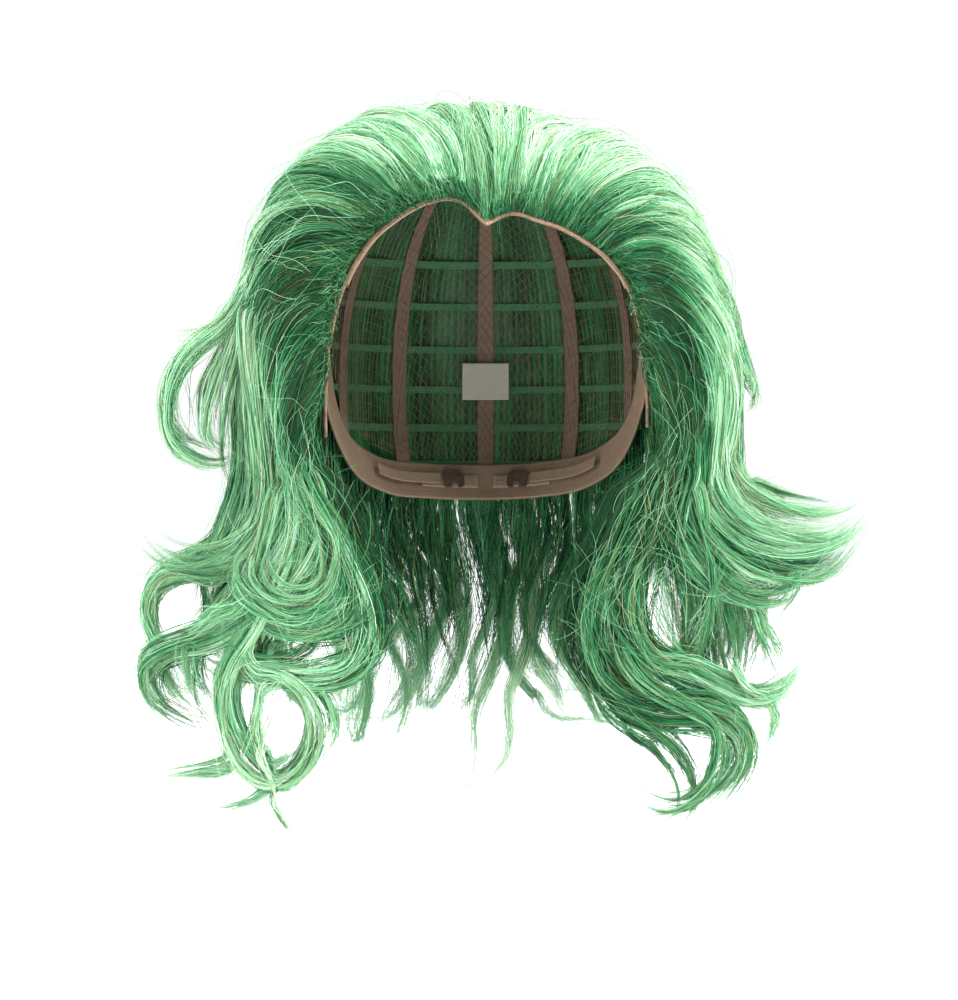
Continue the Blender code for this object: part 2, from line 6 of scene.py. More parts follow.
import bpy
import numpy as np
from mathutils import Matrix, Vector


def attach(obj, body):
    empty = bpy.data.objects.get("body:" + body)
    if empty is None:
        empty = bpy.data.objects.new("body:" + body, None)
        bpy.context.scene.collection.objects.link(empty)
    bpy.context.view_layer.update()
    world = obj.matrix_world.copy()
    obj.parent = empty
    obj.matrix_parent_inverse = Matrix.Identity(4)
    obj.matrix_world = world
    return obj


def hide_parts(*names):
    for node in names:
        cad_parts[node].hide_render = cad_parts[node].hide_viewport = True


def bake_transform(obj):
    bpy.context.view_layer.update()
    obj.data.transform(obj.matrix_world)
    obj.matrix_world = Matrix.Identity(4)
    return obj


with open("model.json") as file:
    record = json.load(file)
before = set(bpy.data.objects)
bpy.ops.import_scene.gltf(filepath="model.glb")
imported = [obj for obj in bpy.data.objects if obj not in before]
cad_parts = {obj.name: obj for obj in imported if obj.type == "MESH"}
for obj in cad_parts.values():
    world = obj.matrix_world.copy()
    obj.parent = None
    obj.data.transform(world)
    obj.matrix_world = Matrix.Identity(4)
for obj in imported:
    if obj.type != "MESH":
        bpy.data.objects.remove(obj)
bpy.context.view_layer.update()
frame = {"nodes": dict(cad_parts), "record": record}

rng = np.random.default_rng(20611)
NODES = frame["nodes"]
MM = 0.001

# ---------------------------------------------------------------- the head inside the cap, as in the part
HALF_W, HALF_L, RISE, DROP, HEAD_Y = 0.0745, 0.0940, 0.1000, 0.0880, 0.0060
N_VERT, N_PLAN, POLE_U = 2.3, 2.2, 0.10
HEAD_Z = -(RISE * math.cos(POLE_U) ** (2 / N_VERT) + 0.0011)
HEM = [
    (0, -0.0370), (9, -0.0285), (20, -0.0275), (34, -0.0340), (47, -0.0470), (56, -0.0680),
    (61, -0.0900), (66, -0.1130), (71, -0.1240), (78, -0.1240), (84, -0.1130), (88, -0.1060), (100, -0.1020),
    (112, -0.1180), (126, -0.1400), (142, -0.1500), (162, -0.1530), (180, -0.1535),
]

# the hair starts a little lower on one side of the forehead than on the other
DIP = [(-60, 0), (5, 0), (10, -0.0022), (16, -0.0055), (24, -0.0072), (36, -0.0078), (46, -0.0060), (53, -0.0010), (56, 0), (180, 0)]


def head(theta, u):
    t = np.radians(theta)
    rho = np.abs(np.sin(u)) ** (2 / N_VERT)
    h = np.sign(np.cos(u)) * np.abs(np.cos(u)) ** (2 / N_VERT)
    r = (np.abs(np.sin(t) / HALF_W) ** N_PLAN + np.abs(np.cos(t) / HALF_L) ** N_PLAN) ** (-1 / N_PLAN)
    return np.stack([np.sin(t) * r * rho, HEAD_Y - np.cos(t) * r * rho, HEAD_Z + np.where(h >= 0, RISE, DROP) * h], axis=-1)


def surf(theta, u, d):
    theta, u, d = np.broadcast_arrays(np.asarray(theta, float), np.asarray(u, float), np.asarray(d, float))
    u = np.maximum(u, 0.004)
    e = 1e-3
    n = np.cross(head(theta, u + e) - head(theta, u - e), head(theta + 0.05, u) - head(theta - 0.05, u))
    n /= np.linalg.norm(n, axis=-1, keepdims=True) + 1e-15
    p = head(theta, u)
    n *= np.sign((n * (p - np.array([0.0, HEAD_Y, HEAD_Z]))).sum(-1, keepdims=True))
    return p + n * d[..., None]


def u_of_z(z):
    z = np.asarray(z, float)
    k = (z - HEAD_Z) / np.where(z >= HEAD_Z, RISE, DROP)
    c = np.clip(np.abs(k), 0, 1) ** (N_VERT / 2)
    return np.where(k >= 0, np.arccos(c), math.pi - np.arccos(c))


def keyed(keys, x):
    xs, ys = np.array([k[0] for k in keys], float), np.array([k[1] for k in keys], float)
    m = np.gradient(ys, xs)
    x = np.clip(np.asarray(x, float), xs[0], xs[-1])
    i = np.clip(np.searchsorted(xs, x, side="right") - 1, 0, len(xs) - 2)
    w = xs[i + 1] - xs[i]
    t = (x - xs[i]) / w
    return (2 * t**3 - 3 * t**2 + 1) * ys[i] + (t**3 - 2 * t**2 + t) * w * m[i] + (3 * t**2 - 2 * t**3) * ys[i + 1] + (t**3 - t**2) * w * m[i + 1]


def hem_z(theta):
    t = (np.asarray(theta, float) + 180) % 360 - 180
    return keyed(HEM, np.abs(t)) + keyed(DIP, t)


def hem_u(theta):
    return u_of_z(hem_z(theta))


# ---------------------------------------------------------------- small maths
def unit(v):
    return v / (np.linalg.norm(v, axis=-1, keepdims=True) + 1e-12)


def smooth(x, a, b):
    t = np.clip((np.asarray(x, float) - a) / (b - a), 0, 1)
    return t * t * (3 - 2 * t)


def catmull(keys, t):
    """Rows of keys at float positions t."""
    k = np.asarray(keys, float)
    k = np.concatenate([2 * k[:1] - k[1:2], k, 2 * k[-1:] - k[-2:-1]])
    t = np.clip(np.asarray(t, float), 0, len(k) - 3 - 1e-9)
    i = t.astype(int)
    f = (t - i).reshape(t.shape + (1,) * (k.ndim - 1))
    p0, p1, p2, p3 = k[i], k[i + 1], k[i + 2], k[i + 3]
    return 0.5 * (2 * p1 + (p2 - p0) * f + (2 * p0 - 5 * p1 + 4 * p2 - p3) * f**2 + (3 * p1 - p0 - 3 * p2 + p3) * f**3)


def even(keys, bend=0.012, n=400):
    """Positions along keys that share out length and bending evenly: a function of 0..1."""
    t = np.linspace(0, len(keys) - 1, n)
    p = catmull(np.asarray(keys, float)[:, :3], t)
    seg = np.diff(p, axis=0)
    length = np.linalg.norm(seg, axis=1)
    d = unit(seg)
    turn = np.zeros(n - 1)
    turn[1:] = np.linalg.norm(np.diff(d, axis=0), axis=1)
    cost = np.concatenate([[0], np.cumsum(length + bend * turn)])
    return lambda s: np.interp(np.asarray(s) * cost[-1], cost, t)


def frames_of(P):
    """Tangent and two steady cross directions for strands P (N, M, 3)."""
    T = unit(np.gradient(P, axis=1))
    ref = np.where(np.abs(T[:, :1, 2:3]) > 0.8, np.array([1.0, 0, 0]), np.array([0, 0, 1.0]))[:, 0]
    A = np.empty_like(P)
    side = unit(np.cross(T[:, 0], ref))
    for j in range(P.shape[1]):
        side = unit(side - T[:, j] * (side * T[:, j]).sum(-1, keepdims=True))
        A[:, j] = side
    return T, A, np.cross(T, A)


def wobble(n, m, waves, amp, s=None):
    """Smooth noise (n, m, 3): sums of sines with random phases, waves being cycles over the strand."""
    s = np.linspace(0, 1, m) if s is None else s
    out = np.zeros((n, m, 3))
    for w, a in zip(waves, amp):
        ph = rng.uniform(0, 2 * math.pi, (n, 1, 3))
        f = w * rng.uniform(0.7, 1.3, (n, 1, 3))
        out += a * np.sin(2 * math.pi * f * s[None, :, None] + ph)
    return out


# ---------------------------------------------------------------- meshes
def mesh_object(name, verts, quads, smooth_shade=True, attrs=None, uvs=None, tris=None):
    verts = np.ascontiguousarray(verts, np.float32)
    faces = np.ascontiguousarray(quads, np.int32).ravel()
    nq = len(quads)
    nt = 0 if tris is None else len(tris)
    loops = faces if nt == 0 else np.concatenate([faces, np.ascontiguousarray(tris, np.int32).ravel()])
    me = bpy.data.meshes.new(name)
    me.vertices.add(len(verts))
    me.vertices.foreach_set("co", verts.ravel())
    me.loops.add(len(loops))
    me.loops.foreach_set("vertex_index", loops)
    me.polygons.add(nq + nt)
    start = np.concatenate([np.arange(nq) * 4, nq * 4 + np.arange(nt) * 3]).astype(np.int32)
    me.polygons.foreach_set("loop_start", start)
    me.update(calc_edges=True)
    me.polygons.foreach_set("use_smooth", np.full(nq + nt, smooth_shade))
    for key, values in (attrs or {}).items():
        layer = me.attributes.new(key, "FLOAT", "POINT")
        layer.data.foreach_set("value", np.ascontiguousarray(values, np.float32).ravel())
    if uvs is not None:
        layer = me.uv_layers.new(name="OFBake")
        layer.data.foreach_set("uv", np.ascontiguousarray(uvs[loops], np.float32).ravel())
    me.update()
    ob = bpy.data.objects.new(name, me)
    bpy.context.scene.collection.objects.link(ob)
    return ob


def tube_arrays(P, R, sides=3, flat=None):
    """Closed tubes along P (N, M, 3) with radii R (N, M): vertices, quads, end triangles."""
    N, M = R.shape
    T, A, B = frames_of(P)
    ang = np.arange(sides) * 2 * math.pi / sides
    turn = rng.uniform(0, 2 * math.pi, (N, 1, 1))
    c, s = np.cos(ang + turn), np.sin(ang + turn)
    verts = P[:, :, None, :] + R[:, :, None, None] * (c[..., None] * A[:, :, None, :] + s[..., None] * B[:, :, None, :])
    base = (np.arange(N)[:, None] * M + np.arange(M - 1)[None, :]) * sides
    k = np.arange(sides)
    k2 = (k + 1) % sides
    b = base[..., None]
    quads = np.stack([b + k, b + k2, b + sides + k2, b + sides + k], axis=-1).reshape(-1, 4)
    first = np.arange(N) * M * sides
    last = first + (M - 1) * sides
    if sides == 3:
        tris = np.concatenate([np.stack([first, first + 2, first + 1], -1), np.stack([last, last + 1, last + 2], -1)])
    else:
        tris = np.concatenate(
            [np.stack([first, first + i + 1, first + i], -1) for i in range(1, sides - 1)]
            + [np.stack([last, last + i, last + i + 1], -1) for i in range(1, sides - 1)]
        )
    return verts.reshape(-1, 3), quads, tris


def tubes(name, P, R, attrs=None, sides=3, order=None):
    """Strand attributes are (N, M). order in 0..1 lays each strand's column in the map."""
    N, M = R.shape
    verts, quads, tris = tube_arrays(P, R, sides)
    flat = {k: np.repeat(np.broadcast_to(v, (N, M)).reshape(N, M, 1), sides, axis=2) for k, v in (attrs or {}).items()}
    col = (np.argsort(np.argsort(order)) if order is not None else np.arange(N)) / N
    u = col[:, None, None] + (np.arange(sides) / sides)[None, None, :] / N * 0.9
    v = np.broadcast_to(np.linspace(0.002, 0.998, M)[None, :, None], (N, M, sides))
    uvs = np.stack([np.broadcast_to(u, (N, M, sides)), v], -1).reshape(-1, 2)
    return mesh_object(name, verts, quads, attrs=flat, uvs=uvs, tris=tris)


def merge_tubes(name, sets, sides=3):
    """One piece from several (P, R, attrs) sets with different counts."""
    vs, qs, ts, us, at = [], [], [], [], {}
    off, total, seen = 0, sum(len(R) for _, R, _ in sets), 0
    for P, R, attrs in sets:
        N, M = R.shape
        v, q, t = tube_arrays(P, R, sides)
        vs.append(v), qs.append(q + off), ts.append(t + off)
        off += len(v)
        for key in ("tone", "gold", "along"):
            at.setdefault(key, []).append(np.repeat(np.broadcast_to(attrs[key], (N, M)).reshape(N, M, 1), sides, axis=2).ravel())
        u = ((seen + np.arange(N)) / total)[:, None, None] + (np.arange(sides) / sides)[None, None, :] / total * 0.9
        w = np.broadcast_to(np.linspace(0.002, 0.998, M)[None, :, None], (N, M, sides))
        us.append(np.stack([np.broadcast_to(u, (N, M, sides)), w], -1).reshape(-1, 2))
        seen += N
    return mesh_object(
        name, np.concatenate(vs), np.concatenate(qs), attrs={k: np.concatenate(v) for k, v in at.items()},
        uvs=np.concatenate(us), tris=np.concatenate(ts),
    )


def panel(name, t0, t1, top, bot, d_in, d_out, step_mm=1.0, relief=None, rows=None, cols=None):
    """A fine closed strip over the head. relief(x_mm, y_mm, side) adds to the thickness, side being 1 outside and -1 inside."""
    arc = abs(t1 - t0) * math.pi / 180 * 0.088 * 1000
    nt = cols or max(8, int(arc / step_mm))
    th = np.linspace(t0, t1, nt)
    ub, ut = bot(th), top(th)
    deep = float(np.max(np.abs(ub - ut))) * 95
    nu = rows or max(3, int(deep / step_mm))
    s = np.linspace(0, 1, nu)
    Tm, S = np.meshgrid(th, s, indexing="ij")
    U = ut[:, None] * (1 - S) + ub[:, None] * S
    mid = surf(Tm, U, 0.5 * (d_in + d_out))
    x = np.zeros_like(Tm)
    x[1:] = np.cumsum(np.linalg.norm(np.diff(mid, axis=0), axis=-1), axis=0) * 1000
    y = np.zeros_like(Tm)
    y[:, 1:] = np.cumsum(np.linalg.norm(np.diff(mid, axis=1), axis=-1), axis=1) * 1000
    f = relief or (lambda x, y, side: 0 * x)
    out = surf(Tm, U, d_out + f(x, y, 1))
    ins = surf(Tm, U, d_in - f(x, y, -1))
    m = nu
    a = lambda i, j: i * m + j
    i, j = np.meshgrid(np.arange(nt - 1), np.arange(m - 1), indexing="ij")
    i, j = i.ravel(), j.ravel()
    off = nt * m
    q1 = np.stack([a(i, j), a(i, j + 1), a(i + 1, j + 1), a(i + 1, j)], -1)
    q2 = np.stack([a(i, j), a(i + 1, j), a(i + 1, j + 1), a(i, j + 1)], -1) + off
    e = np.arange(nt - 1)
    q3 = np.stack([a(e, 0), a(e + 1, 0), a(e + 1, 0) + off, a(e, 0) + off], -1)
    q4 = np.stack([a(e, m - 1), a(e, m - 1) + off, a(e + 1, m - 1) + off, a(e + 1, m - 1)], -1)
    r = np.arange(m - 1)
    q5 = np.stack([a(0, r), a(0, r) + off, a(0, r + 1) + off, a(0, r + 1)], -1)
    q6 = np.stack([a(nt - 1, r), a(nt - 1, r + 1), a(nt - 1, r + 1) + off, a(nt - 1, r) + off], -1)
    verts = np.concatenate([ins.reshape(-1, 3), out.reshape(-1, 3)])
    px = np.concatenate([x.ravel(), x.ravel()]) / max(x.max(), 1)
    py = np.concatenate([y.ravel(), y.ravel()]) / max(x.max(), 1)
    uvs = np.stack([px * 0.98 + 0.01, np.concatenate([py[: off], py[off:] + py[:off].max() * 1.08]) + 0.01], -1)
    uvs[:, 1] = np.minimum(uvs[:, 1], 0.99)
    quads = np.concatenate([q1, q2, q3, q4, q5, q6])
    return mesh_object(name, verts, quads, uvs=uvs, attrs={"px": np.concatenate([x.ravel()] * 2), "py": np.concatenate([y.ravel()] * 2)})


# ---------------------------------------------------------------- materials
def material(name):
    m = bpy.data.materials.new(name)
    m.use_nodes = True
    return m, m.node_tree, m.node_tree.nodes["Principled BSDF"]


def node(nt, kind, **sets):
    n = nt.nodes.new(kind)
    for k, v in sets.items():
        if k in n.inputs:
            n.inputs[k].default_value = v
        else:
            setattr(n, k, v)
    return n


def ramp(nt, stops):
    r = nt.nodes.new("ShaderNodeValToRGB")
    while len(r.color_ramp.elements) < len(stops):
        r.color_ramp.elements.new(0.5)
    for el, (pos, col) in zip(r.color_ramp.elements, stops):
        el.position = pos
        el.color = (*col, 1)
    return r


def mix(nt, blend_type, fac, a, b):
    m = nt.nodes.new("ShaderNodeMix")
    m.data_type = "RGBA"
    m.blend_type = blend_type
    for socket, value in (("Factor", fac), ("A", a), ("B", b)):
        s = next(i for i in m.inputs if i.name == socket and i.type in (("VALUE",) if socket == "Factor" else ("RGBA",)))
        if isinstance(value, bpy.types.NodeSocket):
            nt.links.new(value, s)
        else:
            s.default_value = value if socket == "Factor" else (*value, 1)
    return next(o for o in m.outputs if o.type == "RGBA")


def math_node(nt, op, a, b=None, clamp=False):
    m = nt.nodes.new("ShaderNodeMath")
    m.operation = op
    m.use_clamp = clamp
    for i, v in enumerate((a, b)):
        if v is None:
            continue
        if isinstance(v, bpy.types.NodeSocket):
            nt.links.new(v, m.inputs[i])
        else:
            m.inputs[i].default_value = v
    return m.outputs[0]


def hair_material():
    m, nt, b = material("wig_hair")
    tone = node(nt, "ShaderNodeAttribute", attribute_name="tone").outputs["Fac"]
    gold = node(nt, "ShaderNodeAttribute", attribute_name="gold").outputs["Fac"]
    coord = nt.nodes.new("ShaderNodeTexCoord")
    fine = node(nt, "ShaderNodeTexNoise", Scale=90.0, Detail=3.0)
    nt.links.new(coord.outputs["Object"], fine.inputs["Vector"])
    broad = node(nt, "ShaderNodeTexNoise", Scale=16.0, Detail=2.0)
    nt.links.new(coord.outputs["Object"], broad.inputs["Vector"])
    t = math_node(nt, "ADD", tone, math_node(nt, "MULTIPLY", math_node(nt, "SUBTRACT", fine.outputs["Fac"], 0.5), 0.16))
    t = math_node(nt, "ADD", t, math_node(nt, "MULTIPLY", math_node(nt, "SUBTRACT", broad.outputs["Fac"], 0.5), 0.16), clamp=True)
    r = ramp(nt, HAIR_RAMP)
    nt.links.new(t, r.inputs["Fac"])
    g = ramp(nt, [(0.0, (0.030, 0.045, 0.012)), (0.45, (0.20, 0.20, 0.065)), (1.0, (0.58, 0.56, 0.28))])
    nt.links.new(t, g.inputs["Fac"])
    nt.links.new(mix(nt, "MIX", gold, r.outputs["Color"], g.outputs["Color"]), b.inputs["Base Color"])
    b.inputs["Roughness"].default_value = 0.40
    b.inputs["Specular IOR Level"].default_value = 0.22
    b.inputs["Sheen Weight"].default_value = 0.0
    return m


HAIR_RAMP = [
    (0.0, (0.001, 0.014, 0.004)), (0.18, (0.006, 0.072, 0.022)), (0.36, (0.026, 0.200, 0.072)), (0.54, (0.112, 0.395, 0.172)),
    (0.72, (0.290, 0.630, 0.350)), (0.88, (0.500, 0.820, 0.540)), (1.0, (0.700, 0.920, 0.700)),
]


def fabric(name, dark, light, warp=1.1, weft=1.1, rough=0.85, contrast=0.55, depth=0.25):
    """Woven cloth: crossed ribs in the piece's own millimetres, with worn and darker threads."""
    m, nt, b = material(name)
    px = node(nt, "ShaderNodeAttribute", attribute_name="px").outputs["Fac"]
    py = node(nt, "ShaderNodeAttribute", attribute_name="py").outputs["Fac"]
    wx = math_node(nt, "SINE", math_node(nt, "MULTIPLY", px, 2 * math.pi / warp))
    wy = math_node(nt, "SINE", math_node(nt, "MULTIPLY", py, 2 * math.pi / weft))
    weave = math_node(nt, "ADD", math_node(nt, "MULTIPLY", math_node(nt, "MULTIPLY", wx, wy), 0.5), 0.5)
    coord = nt.nodes.new("ShaderNodeTexCoord")
    noise = node(nt, "ShaderNodeTexNoise", Scale=220.0, Detail=4.0)
    nt.links.new(coord.outputs["Object"], noise.inputs["Vector"])
    t = math_node(nt, "ADD", math_node(nt, "MULTIPLY", weave, contrast), math_node(nt, "MULTIPLY", noise.outputs["Fac"], 1 - contrast), clamp=True)
    r = ramp(nt, [(0.0, dark), (1.0, light)])
    nt.links.new(t, r.inputs["Fac"])
    nt.links.new(r.outputs["Color"], b.inputs["Base Color"])
    b.inputs["Roughness"].default_value = rough
    bump = node(nt, "ShaderNodeBump", Strength=depth, Distance=0.0004)
    nt.links.new(t, bump.inputs["Height"])
    nt.links.new(bump.outputs["Normal"], b.inputs["Normal"])
    return m


def grained(name, dark, light, rough, scale=300.0, metallic=0.0, trans=0.0):
    m, nt, b = material(name)
    coord = nt.nodes.new("ShaderNodeTexCoord")
    noise = node(nt, "ShaderNodeTexNoise", Scale=scale, Detail=5.0)
    nt.links.new(coord.outputs["Object"], noise.inputs["Vector"])
    r = ramp(nt, [(0.3, dark), (0.7, light)])
    nt.links.new(noise.outputs["Fac"], r.inputs["Fac"])
    nt.links.new(r.outputs["Color"], b.inputs["Base Color"])
    b.inputs["Roughness"].default_value = rough
    b.inputs["Metallic"].default_value = metallic
    bump = node(nt, "ShaderNodeBump", Strength=0.15, Distance=0.0002)
    nt.links.new(noise.outputs["Fac"], bump.inputs["Height"])
    nt.links.new(bump.outputs["Normal"], b.inputs["Normal"])
    return m


HAIR = hair_material()
LACE = fabric("wig_lace", (0.20, 0.115, 0.065), (0.52, 0.36, 0.23), 1.6, 1.6, contrast=0.7)
ELASTIC = fabric("wig_elastic", (0.13, 0.085, 0.055), (0.34, 0.235, 0.155), 0.9, 2.4, contrast=0.65)
RIBBON = fabric("wig_ribbon", (0.10, 0.065, 0.042), (0.27, 0.185, 0.125), 0.8, 1.2)
WEFT = fabric("wig_weft", (0.008, 0.060, 0.022), (0.070, 0.290, 0.120), 0.7, 1.6, contrast=0.75)
LINING = fabric("wig_lining", (0.22, 0.15, 0.10), (0.42, 0.31, 0.22), 0.7, 0.7, rough=0.95)
TAG = fabric("wig_tag", (0.28, 0.25, 0.20), (0.44, 0.41, 0.35), 0.5, 0.5, rough=0.7)
THREAD = grained("wig_thread", (0.10, 0.062, 0.038), (0.26, 0.17, 0.11), 0.75)
NETTING = grained("wig_net", (0.085, 0.055, 0.034), (0.22, 0.145, 0.095), 0.8, scale=500.0)
STAY = grained("wig_stay", (0.66, 0.66, 0.62), (0.84, 0.84, 0.81), 0.3, scale=140.0)
HOOK = grained("wig_hook", (0.045, 0.028, 0.018), (0.10, 0.066, 0.045), 0.38, scale=420.0)


def dress(ob, mat, body, slot, *nodes):
    ob.data.materials.clear()
    ob.data.materials.append(mat)
    if body:
        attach(ob, body)
    if nodes:
        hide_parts(*nodes)
    return ob


# ---------------------------------------------------------------- the cap
BAND_U = 0.20
NET_IN, NET_OUT, BAND_OUT = 0.0011, 0.0021, 0.0025
TAB_TOP_Z = -0.0850


def crown_u(theta):
    a = np.abs((np.asarray(theta, float) + 180) % 360 - 180)
    level = u_of_z(-0.0500) + 0 * a
    return np.where(a < 61, np.minimum(hem_u(a) - BAND_U - 0.012, level), level)


def net_bottom(theta):
    """Where the net ends: the band in front, the tab's line and hem at the sides, the nape band behind."""
    a = np.abs((np.asarray(theta, float) + 180) % 360 - 180)
    front = hem_u(a) - BAND_U - 0.006
    side = np.where(a < 87.0, u_of_z(TAB_TOP_Z + 0.0008) + 0 * a, hem_u(a) - 0.004)
    back = hem_u(a) - 0.222
    return np.where(a < 60, front, np.where(a < 104.2, side, back))


def net_piece():
    sets_p, sets_r = [], []
    pitch = 0.036
    reach = 2.12
    n = 150
    w = np.linspace(-reach, reach, n)
    for family in (0, 1):
        for c in np.arange(-reach * 1.42, reach * 1.42, pitch * 1.1):
            p = (w + c) / math.sqrt(2) if family == 0 else (w - c) / math.sqrt(2)
            q = (w - c) / math.sqrt(2) if family == 0 else -(w + c) / math.sqrt(2)
            u = np.hypot(p, q)
            th = np.degrees(np.arctan2(p, q))
            ok = u < net_bottom(th) - 0.003
            i = 0
            while i < n:
                if not ok[i]:
                    i += 1
                    continue
                j = i
                while j + 1 < n and ok[j + 1]:
                    j += 1
                if j - i >= 2:
                    sets_p.append(surf(th[i : j + 1], u[i : j + 1], 0.0016 + (0.00012 if family else -0.00012)))
                i = j + 1
    # same count along every thread, so one builder takes them all
    P = np.stack([catmull(p, np.linspace(0, len(p) - 1, 40)) for p in sets_p])
    long = np.linalg.norm(np.diff(P, axis=1), axis=-1).sum(1)
    P = P[long > 0.004]
    R = np.full(P.shape[:2], 0.00017)
    return tubes("cap_net", P, R, {"tone": 0.3})


dress(net_piece(), NETTING, "cap", "net", "crown_net", "left_side_net", "right_side_net", "back_net")


def ribs(amp, pitch):
    return lambda x, y, side: amp * (0.5 + 0.5 * np.cos(2 * math.pi * y / pitch))


def weave(amp, pitch):
    return lambda x, y, side: amp * (0.5 + 0.5 * np.cos(2 * math.pi * x / pitch) * np.cos(2 * math.pi * y / pitch))


def cord(theta, u, d, r, m=None, twist=0.0):
    """One strand of tube along a line on the cap, as (1, M) arrays."""
    m = m or len(theta)
    P = surf(theta, u, d)
    P = catmull(P, np.linspace(0, len(P) - 1, m))[None]
    return P, np.full((1, m), r)


ang = np.linspace(-59.6, 59.6, 140)
dress(
    panel("hairline_band_lace", -59.6, 59.6, lambda t: hem_u(t) - BAND_U, hem_u, NET_IN, BAND_OUT - 0.0001, 0.8, weave(0.00012, 1.6)),
    LACE, "cap", "lace", "hairline_band",
)
edge = [cord(ang, hem_u(ang) + 0.001, 0.0018, 0.00045, 260), cord(ang, hem_u(ang) - BAND_U + 0.006, 0.0018, 0.0006, 260)]
dress(tubes("hairline_binding", np.concatenate([e[0] for e in edge]), np.concatenate([e[1] for e in edge]), {"tone": 0.4}, sides=6), THREAD, "cap", "lace")
dress(
    panel("hairline_lining_strip", -54, 54, lambda t: hem_u(t) - BAND_U + 0.03, lambda t: hem_u(t) - 0.02, -0.0002, 0.0005, 0.9, weave(0.00008, 1.0)),
    LINING, "cap", "lining", "hairline_lining",
)
dress(
    panel("nape_band_elastic", 104.4, 255.6, lambda t: hem_u(t) - 0.215, hem_u, NET_IN, BAND_OUT - 0.0001, 0.9, ribs(0.00016, 1.9)),
    ELASTIC, "cap", "elastic", "nape_band",
)
na = np.linspace(104.4, 255.6, 220)
zig = 0.012 * np.sign(np.sin(np.linspace(0, 150 * math.pi, 600)))
nz = np.linspace(105, 255, 600)
stitched = [
    (surf(nz, hem_u(nz) - 0.030 + 0.35 * zig, 0.00085)[None], np.full((1, 600), 0.00016)),
    (surf(nz, hem_u(nz) - 0.190 + 0.35 * zig, 0.00085)[None], np.full((1, 600), 0.00016)),
]
dress(tubes("nape_stitching", np.concatenate([s[0] for s in stitched]), np.concatenate([s[1] for s in stitched]), {"tone": 0.4}), LINING, "cap", "elastic")

for side, s in (("left", -1), ("right", 1)):
    lo, hi = sorted((s * 61.6, s * 84.0))
    dress(
        panel(f"{side}_ear_tab_lace", lo, hi, lambda t: u_of_z(TAB_TOP_Z - 0.0008) + 0 * t, hem_u, NET_IN, BAND_OUT - 0.0001, 0.8, weave(0.00012, 1.6)),
        LACE, f"{side}_ear_tab", "lace", f"{side}_ear_tab",
    )
    t = np.linspace(lo, hi, 60)
    P, R = cord(t, hem_u(t) - 0.006, 0.0018, 0.00075, 120)
    dress(tubes(f"{side}_ear_tab_binding", P, R, {"tone": 0.4}, sides=6), THREAD, f"{side}_ear_tab", "lace")
    NODES[f"{side}_ear_stay"].data.materials.clear()
    NODES[f"{side}_ear_stay"].data.materials.append(STAY)
    NODES[f"{side}_adjuster_hook"].data.materials.clear()
    NODES[f"{side}_adjuster_hook"].data.materials.append(HOOK)
    lo, hi = sorted((s * 138.0, s * (169.0 - 4.6)))
    strap = panel(
        f"{side}_strap", lo, hi, lambda t: hem_u(t) - 0.105 - 0.034, lambda t: hem_u(t) - 0.105 + 0.034, -0.0031, -0.0023, 0.6, ribs(0.00008, 1.3),
    )
    dress(strap, ELASTIC, None, "elastic", f"{side}_adjuster_strap")
    a = Vector(surf(s * 139.0, hem_u(139.0) - 0.105, -0.0027))
    e = Vector(surf(s * 163.5, hem_u(163.5) - 0.105, -0.0027))
    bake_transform(strap)
    lo, hi = sorted((s * 158.0, s * 177.6))
    dress(
        panel(
            f"{side}_loop_tape", lo, hi, lambda t: hem_u(t) - 0.105 - 0.040, lambda t: hem_u(t) - 0.105 + 0.040, -0.0003, 0.0004, 0.6, weave(0.00006, 1.0),
        ),
        LINING, "cap", "lining", f"{side}_hook_loops",
    )
    loops = []
    for k in range(4):
        c = s * (158.0 + 2.45 + 4.9 * k)
        w = np.linspace(0, math.pi, 14)
        tt = c + s * 1.5 * np.cos(w)
        loops.append(surf(tt, hem_u(c) - 0.105 + 0 * w, 0.0004 - 0.0014 * np.sin(w)))
        loops.append(surf(tt, hem_u(c) - 0.105 + 0.022 + 0 * w, 0.0004 - 0.0013 * np.sin(w)))
        loops.append(surf(tt, hem_u(c) - 0.105 - 0.022 + 0 * w, 0.0004 - 0.0013 * np.sin(w)))
    P = np.stack(loops)
    dress(tubes(f"{side}_thread_loops", P, np.full(P.shape[:2], 0.0002), {"tone": 0.4}, sides=4), THREAD, "cap", "lining")

for k, centre in enumerate((128.0, 154.0, 180.0, 206.0, 232.0)):
    dress(
        panel(f"ribbon_{k + 1}", centre - 2.4, centre + 2.4, lambda t: u_of_z(-0.0120) + 0 * t, lambda t: hem_u(t) - 0.03, 0.0031, 0.0036, 0.8, ribs(0.0001, 1.6)),
        RIBBON, "cap", "ribbon", f"cap_ribbon_{k + 1}",
    )

dress(
    panel("blank_tag", 173.0, 187.0, lambda t: u_of_z(-0.0880) + 0 * t, lambda t: u_of_z(-0.1060) + 0 * t, -0.0006, -0.0002, 0.5, weave(0.00005, 0.9)),
    TAG, "cap", "tag", "size_tag",
)

ROWS = [(-0.1360, 118), (-0.1190, 112), (-0.1010, 104), (-0.0820, 92), (-0.0620, 80), (-0.0430, 68)]


def track(x, y, side):
    """A sewn weft: fibres folded over side by side, pinched by two stitch lines."""
    bundles = 0.5 + 0.5 * np.cos(2 * math.pi * x / 1.1 + 0.7 * np.sin(x * 0.9))
    pinch = np.exp(-(((y - 0.9) / 0.28) ** 2)) + np.exp(-(((y - 2.3) / 0.28) ** 2))
    return 0.00022 * bundles - 0.00028 * pinch


